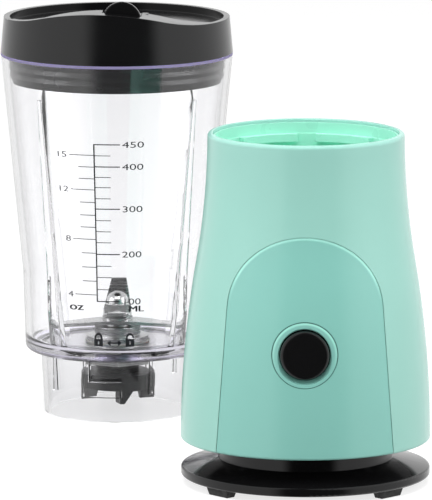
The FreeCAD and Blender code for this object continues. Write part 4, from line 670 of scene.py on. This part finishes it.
def wind_spring():
    """The spring, and the middle of its end that stays where it is."""
    low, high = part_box("button_spring")
    radius = (high[0] - low[0]) / 2 - SPRING_WIRE
    rise = high[1] - low[1] - 2 * SPRING_WIRE
    bpy.ops.object.select_all(action="DESELECT")
    bpy.ops.mesh.primitive_circle_add(vertices=WIRE_SIDES, radius=SPRING_WIRE)
    spring = bpy.context.object
    spring.name = "button_spring_coil"
    bpy.ops.object.mode_set(mode="EDIT")
    bpy.ops.mesh.select_all(action="SELECT")
    bpy.ops.transform.translate(value=(radius, 0.0, 0.0))
    bpy.ops.object.mode_set(mode="OBJECT")
    bpy.ops.object.modifier_add(type="SCREW")
    winding = spring.modifiers[-1]
    winding.axis = "Y"
    winding.iterations = SPRING_TURNS
    winding.screw_offset = rise / SPRING_TURNS
    winding.steps = SPRING_STEPS
    winding.render_steps = SPRING_STEPS
    bpy.ops.object.modifier_apply(modifier=winding.name)
    bpy.ops.object.mode_set(mode="EDIT")
    bpy.ops.mesh.select_all(action="SELECT")
    bpy.ops.mesh.fill_holes(sides=0)
    bpy.ops.mesh.select_all(action="SELECT")
    bpy.ops.mesh.normals_make_consistent(inside=False)
    place = ((low[0] + high[0]) / 2, low[1] + SPRING_WIRE, (low[2] + high[2]) / 2)
    bpy.ops.transform.translate(value=place)
    bpy.ops.object.mode_set(mode="OBJECT")
    bpy.ops.object.shade_smooth_by_angle(angle=SMOOTH_UNDER)
    spring.data.materials.append(spring_steel)
    return spring, (place[0], high[1], place[2])


coil, fixed_end = wind_spring()
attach(coil, "base")
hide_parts("button_spring")
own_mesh(coil)
print("spring:", len(coil.data.polygons), "faces")

# %% [markdown]
# ## Cores and windings
# A motor's core is a stack of thin steel sheets, and its coils are many turns of
# enamelled wire. Both are fine regular bands, so a wave texture gives the colour and the
# bump together: level bands for the sheets, and bands with a slight wobble for the wire.

# %% Cores and windings
SHEET_BANDS = 320.0
WIRE_BANDS = 260.0
WIRE_WOBBLE = 1.5


def add_bands(material, direction, scale, wobble, dark, depth):
    """Parallel bands along one axis, in the colour and in the bump."""
    tree = material.node_tree
    shader = tree.nodes["Principled BSDF"]
    old = shader.inputs["Base Color"].links[0].from_socket
    place = node_of(tree, "ShaderNodeTexCoord")
    bands = node_of(tree, "ShaderNodeTexWave", bands_direction=direction, Scale=scale,
                    Distortion=wobble)
    mix = node_of(tree, "ShaderNodeMix", data_type="RGBA", blend_type="MULTIPLY")
    shade = node_of(tree, "ShaderNodeMapRange")
    shade.inputs["To Min"].default_value = dark
    mix.inputs["Factor"].default_value = 1.0
    tree.links.new(place.outputs["Object"], bands.inputs["Vector"])
    tree.links.new(bands.outputs["Fac"], shade.inputs["Value"])
    tree.links.new(old, mix.inputs["A"])
    tree.links.new(shade.outputs[0], mix.inputs["B"])
    tree.links.new(mix.outputs["Result"], shader.inputs["Base Color"])
    bump = tree.nodes["Bump"]
    bump.inputs["Distance"].default_value = depth
    tree.links.new(bands.outputs["Fac"], bump.inputs["Height"])


lamination = finish_of("Stacked electrical steel", (0.20, 0.20, 0.215), (0.36, 0.5), MATTE_SKIN,
                       Metallic=1.0)
add_bands(lamination, "Z", SHEET_BANDS, 0.0, 0.55, 0.0001)
copper_wire = finish_of("Enamelled copper wire", (0.52, 0.20, 0.08), (0.22, 0.32), MATTE_SKIN,
                        Metallic=0.8, Coat_Weight=0.6, Coat_Roughness=0.12)
add_bands(copper_wire, "DIAGONAL", WIRE_BANDS, WIRE_WOBBLE, 0.35, 0.0002)
dress("lamination", lamination, "stator_core", "armature_core")
dress("copper_wire", copper_wire, "field_coils", "armature_windings")

# %% [markdown]
# ## The clear jar
# The wall is a solid with an inside and an outside, so light bends twice as it does in
# the real one. Its body has a faint violet cast, which adds up where the eye looks along
# the wall: at the mouth and at the step above the foot. Those bands take their tint and
# their roughness by height. The foot's grey tint is painted shade, for the shaded floor
# seen through it. Transmission is the same all over. The mouth's edge gathers light from
# the whole wall, which too few bounces would lose, so it has a faint light of its own.
# The finish is smooth, with a weak waviness from the mould.

# %% Clear jar
CLEAR_INDEX = 1.56
CLEAR_TINT = (0.985, 0.985, 0.995)
# Each band: low and high in metres, tint and roughness, from the foot up to the mouth.
CAST_AND_SHADE_BANDS = (
    # The foot's tint is painted shade: it greys the floor seen through the foot.
    (-0.0010, 0.0262, (0.915, 0.915, 0.925, 1.0), 0.03),
    (0.0264, 0.0290, (0.740, 0.700, 0.880, 1.0), 0.25),
    (0.1526, 0.1541, (0.720, 0.660, 0.960, 1.0), 0.90))
NO_LIGHT = (0.0, 0.0, 0.0, 1.0)
MOUTH_LIGHT = (0.122, 0.108, 0.192, 1.0)


def height_band(tree, low, high):
    """1 between two heights of the object, else 0."""
    place = node_of(tree, "ShaderNodeTexCoord")
    parts = node_of(tree, "ShaderNodeSeparateXYZ")
    band = node_of(tree, "ShaderNodeMath", operation="COMPARE")
    band.inputs[1].default_value = (low + high) / 2
    band.inputs[2].default_value = (high - low) / 2
    tree.links.new(place.outputs["Object"], parts.inputs[0])
    tree.links.new(parts.outputs["Z"], band.inputs[0])
    return band.outputs[0]


def make_clear():
    """The clear finish, with its bands by height."""
    material = finish_of("Clear copolyester", CLEAR_TINT, (0.015, 0.035),
                         {"Wave_Scale": 60.0, "Grain_Share": 0.03}, depth=0.00001,
                         drift=0.004, edge=0.0, IOR=CLEAR_INDEX, Transmission_Weight=1.0,
                         Emission_Color=NO_LIGHT, Emission_Strength=1.0)
    tree = material.node_tree
    shader = tree.nodes["Principled BSDF"]
    for low, high, tint, dull in CAST_AND_SHADE_BANDS:
        band = height_band(tree, low, high)
        mix_by(tree, band, shader.inputs["Base Color"], tint)
        mix_by(tree, band, shader.inputs["Roughness"], dull)
    # The last band is the mouth's.
    mix_by(tree, band, shader.inputs["Emission Color"], MOUTH_LIGHT)
    return material


clear_jar = make_clear()
dress("clear_jar", clear_jar, "jar")

# %% [markdown]
# ## The jar's measuring marks
# The marks are a thin film of dark ink: a scale of millilitres to the right of an upright
# line, a scale of ounces to its left, and the lock signs under them. They are drawn flat,
# with angles across and heights up, and then wrapped on the wall by casting a ray at it
# for every point. Each mark is a plane that is cut across into short lengths, so that it
# can follow the round wall.

# %% Helpers for flat marks
GASKET_LOW, GASKET_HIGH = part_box("hub_gasket")
JAR_AXIS = tuple((low + high) / 2 for low, high in zip(GASKET_LOW[:2], GASKET_HIGH[:2]))
FILM = 0.00005
DEGREES_PER_MM = 1.25
GLYPH_WIDE = 1.7
CAPITAL_SHARE = 0.70
LINE_CUTS, BAR_CUTS = 5, 3
marks = []


def bar(name, left, right, low, high, cuts=1):
    """A flat bar between two angles (across) and two heights in mm (up)."""
    bpy.ops.object.select_all(action="DESELECT")
    bpy.ops.mesh.primitive_plane_add(size=1.0)
    piece = bpy.context.object
    piece.name = name
    bpy.ops.object.mode_set(mode="EDIT")
    bpy.ops.mesh.select_all(action="SELECT")
    bpy.ops.mesh.subdivide(number_cuts=cuts)
    bpy.ops.transform.resize(value=(right - left, high - low, 1.0))
    bpy.ops.transform.translate(value=((left + right) / 2, (low + high) / 2, 0.0))
    bpy.ops.object.mode_set(mode="OBJECT")
    marks.append(piece)
    return piece


def words(text, left, low, tall, align="LEFT"):
    """Numbers or a unit, as a flat mesh; left is an angle, low and tall are in mm."""
    bpy.ops.object.select_all(action="DESELECT")
    bpy.ops.object.text_add()
    piece = bpy.context.object
    piece.name = "mark_" + text
    piece.data.body = text
    piece.data.align_x = align
    piece.data.size = tall / CAPITAL_SHARE
    piece.data.resolution_u = 4
    bpy.ops.object.convert(target="MESH")
    bpy.ops.object.mode_set(mode="EDIT")
    bpy.ops.mesh.select_all(action="SELECT")
    across = DEGREES_PER_MM * GLYPH_WIDE
    bpy.ops.transform.resize(value=(across, 1.0, 1.0), center_override=(0.0, 0.0, 0.0))
    bpy.ops.transform.translate(value=(left, low, 0.0))
    bpy.ops.object.mode_set(mode="OBJECT")
    marks.append(piece)
    return piece


print("jar axis:", [round(place / MM, 2) for place in JAR_AXIS], "mm")

# %% [markdown]
# ### The two scales
# The jar widens upward, so equal volumes are not equal heights, and each line has its own
# measured height. The fullest line, the whole hundreds of millilitres and four of the
# ounces have a longer line and a number.

# %% Draw the two scales
LINE_AT = -10.1
LINE_HALF = 0.38
THICK = 0.22
THIN = 0.15
BOLD_SHIFT = 0.4
# Heights in mm, from the top line down.
ML_HEIGHTS = (120.53, 115.79, 111.05, 106.55, 102.19, 97.43, 92.97, 88.03, 83.26, 78.53,
              73.49, 68.40, 63.53, 58.33, 53.25)
OZ_HEIGHTS = (115.88, 110.88, 105.87, 101.12, 95.71, 90.22, 85.06, 79.86, 73.92, 67.84,
              61.84, 55.98)
ML_TOP, ML_STEP = 450, 25
OZ_TOP, OZ_STEP = 15, 1
ML_LONG = (450, 400, 300, 200, 100)
OZ_LONG = (15, 12, 8, 4)
# Angles in degrees at which long and short lines end.
ML_LONG_END, ML_SHORT_END = 3.6, -1.4
OZ_LONG_END, OZ_SHORT_END = -24.0, -19.0
# A number's angle, its drop below its line and its height.
ML_NUMBER = (4.6, 1.3, 2.6)
OZ_NUMBER = (-25.2, 1.2, 2.4)
# A unit's angle, its foot's height and its own height.
ML_UNIT = (8.4, 48.9, 2.5)
OZ_UNIT = (-28.4, 49.2, 3.2)


def scale_line(name, amount, height, half, end, number, align):
    """One line of a scale from the upright line to the angle end, and its number if long."""
    bar(name, min(LINE_AT, end), max(LINE_AT, end), height - half, height + half, LINE_CUTS)
    if number:
        left, drop, tall = number
        words(str(amount), left, height - drop, tall, align)


bar("mark_upright", LINE_AT - LINE_HALF, LINE_AT + LINE_HALF, ML_HEIGHTS[-1] - THICK,
    ML_HEIGHTS[0] + THICK, BAR_CUTS)
for step, height in enumerate(ML_HEIGHTS):
    amount = ML_TOP - ML_STEP * step
    if amount in ML_LONG:
        scale_line("mark_ml_%d" % amount, amount, height, THICK, ML_LONG_END, ML_NUMBER, "LEFT")
    else:
        scale_line("mark_ml_%d" % amount, amount, height, THIN, ML_SHORT_END, None, "LEFT")
for step, height in enumerate(OZ_HEIGHTS):
    amount = OZ_TOP - OZ_STEP * step
    if amount in OZ_LONG:
        scale_line("mark_oz_%d" % amount, amount, height, THIN, OZ_LONG_END, OZ_NUMBER, "RIGHT")
    else:
        scale_line("mark_oz_%d" % amount, amount, height, THIN, OZ_SHORT_END, None, "RIGHT")
for shift in (0.0, BOLD_SHIFT):
    words("ML", ML_UNIT[0] + shift, ML_UNIT[1], ML_UNIT[2])
    words("oz", OZ_UNIT[0] + shift, OZ_UNIT[1], OZ_UNIT[2])
print("flat marks:", len(marks))

# %% [markdown]
# ### The lock signs
# A padlock is a body with a keyhole and a shackle, which is half of a flat ring on two
# legs. The open one's shackle has only its left leg. Between them a double arrow says
# that the jar turns.

# %% Draw the lock signs
LOCK_WIDE = 5.4
SIGN_LOW = 34.0
SIGN_BODY = 3.2
KEYHOLE_HALF = 0.42
KEYHOLE_LOW, KEYHOLE_HIGH = 34.9, 36.3
SHACKLE_OUT, SHACKLE_IN = 2.0, 1.15
SHACKLE_LIFT = 0.5
SHACKLE_OVERLAP = 0.1
SHACKLE_SIDES = 32
HEAD_LONG, HEAD_TALL = 1.5, 1.5
ARROW_UP, ARROW_HALF = 1.5, 0.3
# Angles of the two padlocks' left sides, the arrow's bar and its two tips.
LOCKED_LEFT, OPEN_LEFT = -12.3, 7.0
ARROW_LEFT, ARROW_RIGHT = -2.9, 3.0
TIP_LEFT, TIP_RIGHT = -4.4, 4.6


def padlock(name, left, opened):
    """A body of four bars round a keyhole, and a shackle with one leg or two."""
    middle = left + LOCK_WIDE / 2
    right = left + LOCK_WIDE
    top = SIGN_LOW + SIGN_BODY
    bar(name + "_left", left, middle - KEYHOLE_HALF, SIGN_LOW, top)
    bar(name + "_right", middle + KEYHOLE_HALF, right, SIGN_LOW, top)
    bar(name + "_low", middle - KEYHOLE_HALF, middle + KEYHOLE_HALF, SIGN_LOW, KEYHOLE_LOW)
    bar(name + "_high", middle - KEYHOLE_HALF, middle + KEYHOLE_HALF, KEYHOLE_HIGH, top)
    bpy.ops.object.select_all(action="DESELECT")
    bpy.ops.mesh.primitive_circle_add(vertices=SHACKLE_SIDES, radius=SHACKLE_OUT, fill_type="NGON")
    shackle = bpy.context.object
    shackle.name = name + "_shackle"
    bpy.ops.object.mode_set(mode="EDIT")
    bpy.ops.mesh.select_all(action="SELECT")
    bpy.ops.mesh.inset(thickness=SHACKLE_OUT - SHACKLE_IN)
    bpy.ops.mesh.delete(type="FACE")
    bpy.ops.mesh.select_all(action="SELECT")
    bpy.ops.mesh.bisect(plane_co=(0, -SHACKLE_OVERLAP, 0), plane_no=(0, 1, 0), clear_inner=True)
    bpy.ops.mesh.select_all(action="SELECT")
    bpy.ops.transform.resize(value=(DEGREES_PER_MM, 1.0, 1.0), center_override=(0.0, 0.0, 0.0))
    bpy.ops.transform.translate(value=(middle, top + SHACKLE_LIFT, 0.0))
    bpy.ops.object.mode_set(mode="OBJECT")
    marks.append(shackle)
    leg = (SHACKLE_OUT - SHACKLE_IN) * DEGREES_PER_MM
    leg_low = top - SHACKLE_OVERLAP
    leg_high = top + SHACKLE_LIFT + SHACKLE_OVERLAP
    for side in ((-1,) if opened else (-1, 1)):
        outer = middle + side * SHACKLE_OUT * DEGREES_PER_MM
        inner = outer - side * leg
        bar(name + "_leg", min(outer, inner), max(outer, inner), leg_low, leg_high)


def arrow_head(name, tip, way):
    """A triangle with its point at the angle tip; way is 1 for right and -1 for left."""
    bpy.ops.object.select_all(action="DESELECT")
    bpy.ops.mesh.primitive_circle_add(vertices=3, radius=1.0, fill_type="NGON")
    head = bpy.context.object
    head.name = name
    for vertex in head.data.vertices:
        across, up = vertex.co.y, vertex.co.x
        vertex.co.x = tip + way * (across - 1.0) * HEAD_LONG
        vertex.co.y = SIGN_LOW + ARROW_UP + up * HEAD_TALL
    marks.append(head)


padlock("mark_locked", LOCKED_LEFT, False)
padlock("mark_open", OPEN_LEFT, True)
arrow_middle = SIGN_LOW + ARROW_UP
bar("mark_arrow", ARROW_LEFT, ARROW_RIGHT, arrow_middle - ARROW_HALF,
    arrow_middle + ARROW_HALF, BAR_CUTS)
arrow_head("mark_arrow_left", TIP_LEFT, -1)
arrow_head("mark_arrow_right", TIP_RIGHT, 1)
print("flat marks with the lock signs:", len(marks))

# %% [markdown]
# ### Wrap the marks on the wall
# All marks are joined to one piece. Each point's angle and height then pick a place on
# the wall, found by a ray from outside, so that the ink lies on the real surface
# whatever its taper. A Solidify modifier gives the film its thickness.

# %% Wrap the marks
INK = (0.010, 0.011, 0.014)
RAY_START = 0.09
FILM_GAP = 0.2 * FILM
MERGE_UNDER = 0.000001


def wall_finder(name):
    """The surface of a CAD node, ready for rays."""
    mesh = NODES[name].data
    points = [vertex.co.copy() for vertex in mesh.vertices]
    faces = [tuple(face.vertices) for face in mesh.polygons]
    return BVHTree.FromPolygons(points, faces)


def wrap_marks():
    """Join the flat marks, lay them on the jar's wall and give them a film's thickness."""
    bpy.ops.object.select_all(action="DESELECT")
    for piece in marks:
        piece.select_set(True)
    bpy.context.view_layer.objects.active = marks[0]
    bpy.ops.object.join()
    film = bpy.context.object
    film.name = "jar_marks"
    wall = wall_finder("jar")
    for vertex in film.data.vertices:
        angle = math.radians(vertex.co.x)
        outward = Vector((math.sin(angle), -math.cos(angle), 0.0))
        start = Vector((JAR_AXIS[0], JAR_AXIS[1], vertex.co.y * MM)) + outward * RAY_START
        hit, _, _, _ = wall.ray_cast(start, -outward)
        vertex.co = hit + outward * FILM_GAP
    bpy.ops.object.mode_set(mode="EDIT")
    bpy.ops.mesh.select_all(action="SELECT")
    bpy.ops.mesh.remove_doubles(threshold=MERGE_UNDER)
    bpy.ops.object.mode_set(mode="OBJECT")
    bm = bmesh.new()
    bm.from_mesh(film.data)
    bm.normal_update()
    for face in bm.faces:
        middle = face.calc_center_median()
        if face.normal.dot(middle - Vector((JAR_AXIS[0], JAR_AXIS[1], middle.z))) < 0:
            face.normal_flip()
    bm.to_mesh(film.data)
    bm.free()
    bpy.ops.object.modifier_add(type="SOLIDIFY")
    film.modifiers[-1].thickness = FILM
    film.modifiers[-1].offset = 1.0
    bpy.ops.object.modifier_apply(modifier=film.modifiers[-1].name)
    return film


jar_marks = wrap_marks()
ink = finish_of("Printed ink", INK, (0.35, 0.5), MATTE_SKIN, depth=0.00001, edge=0.0)
jar_marks.data.materials.clear()
jar_marks.data.materials.append(ink)
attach(jar_marks, "jar")
print("marks:", len(jar_marks.data.polygons), "faces")
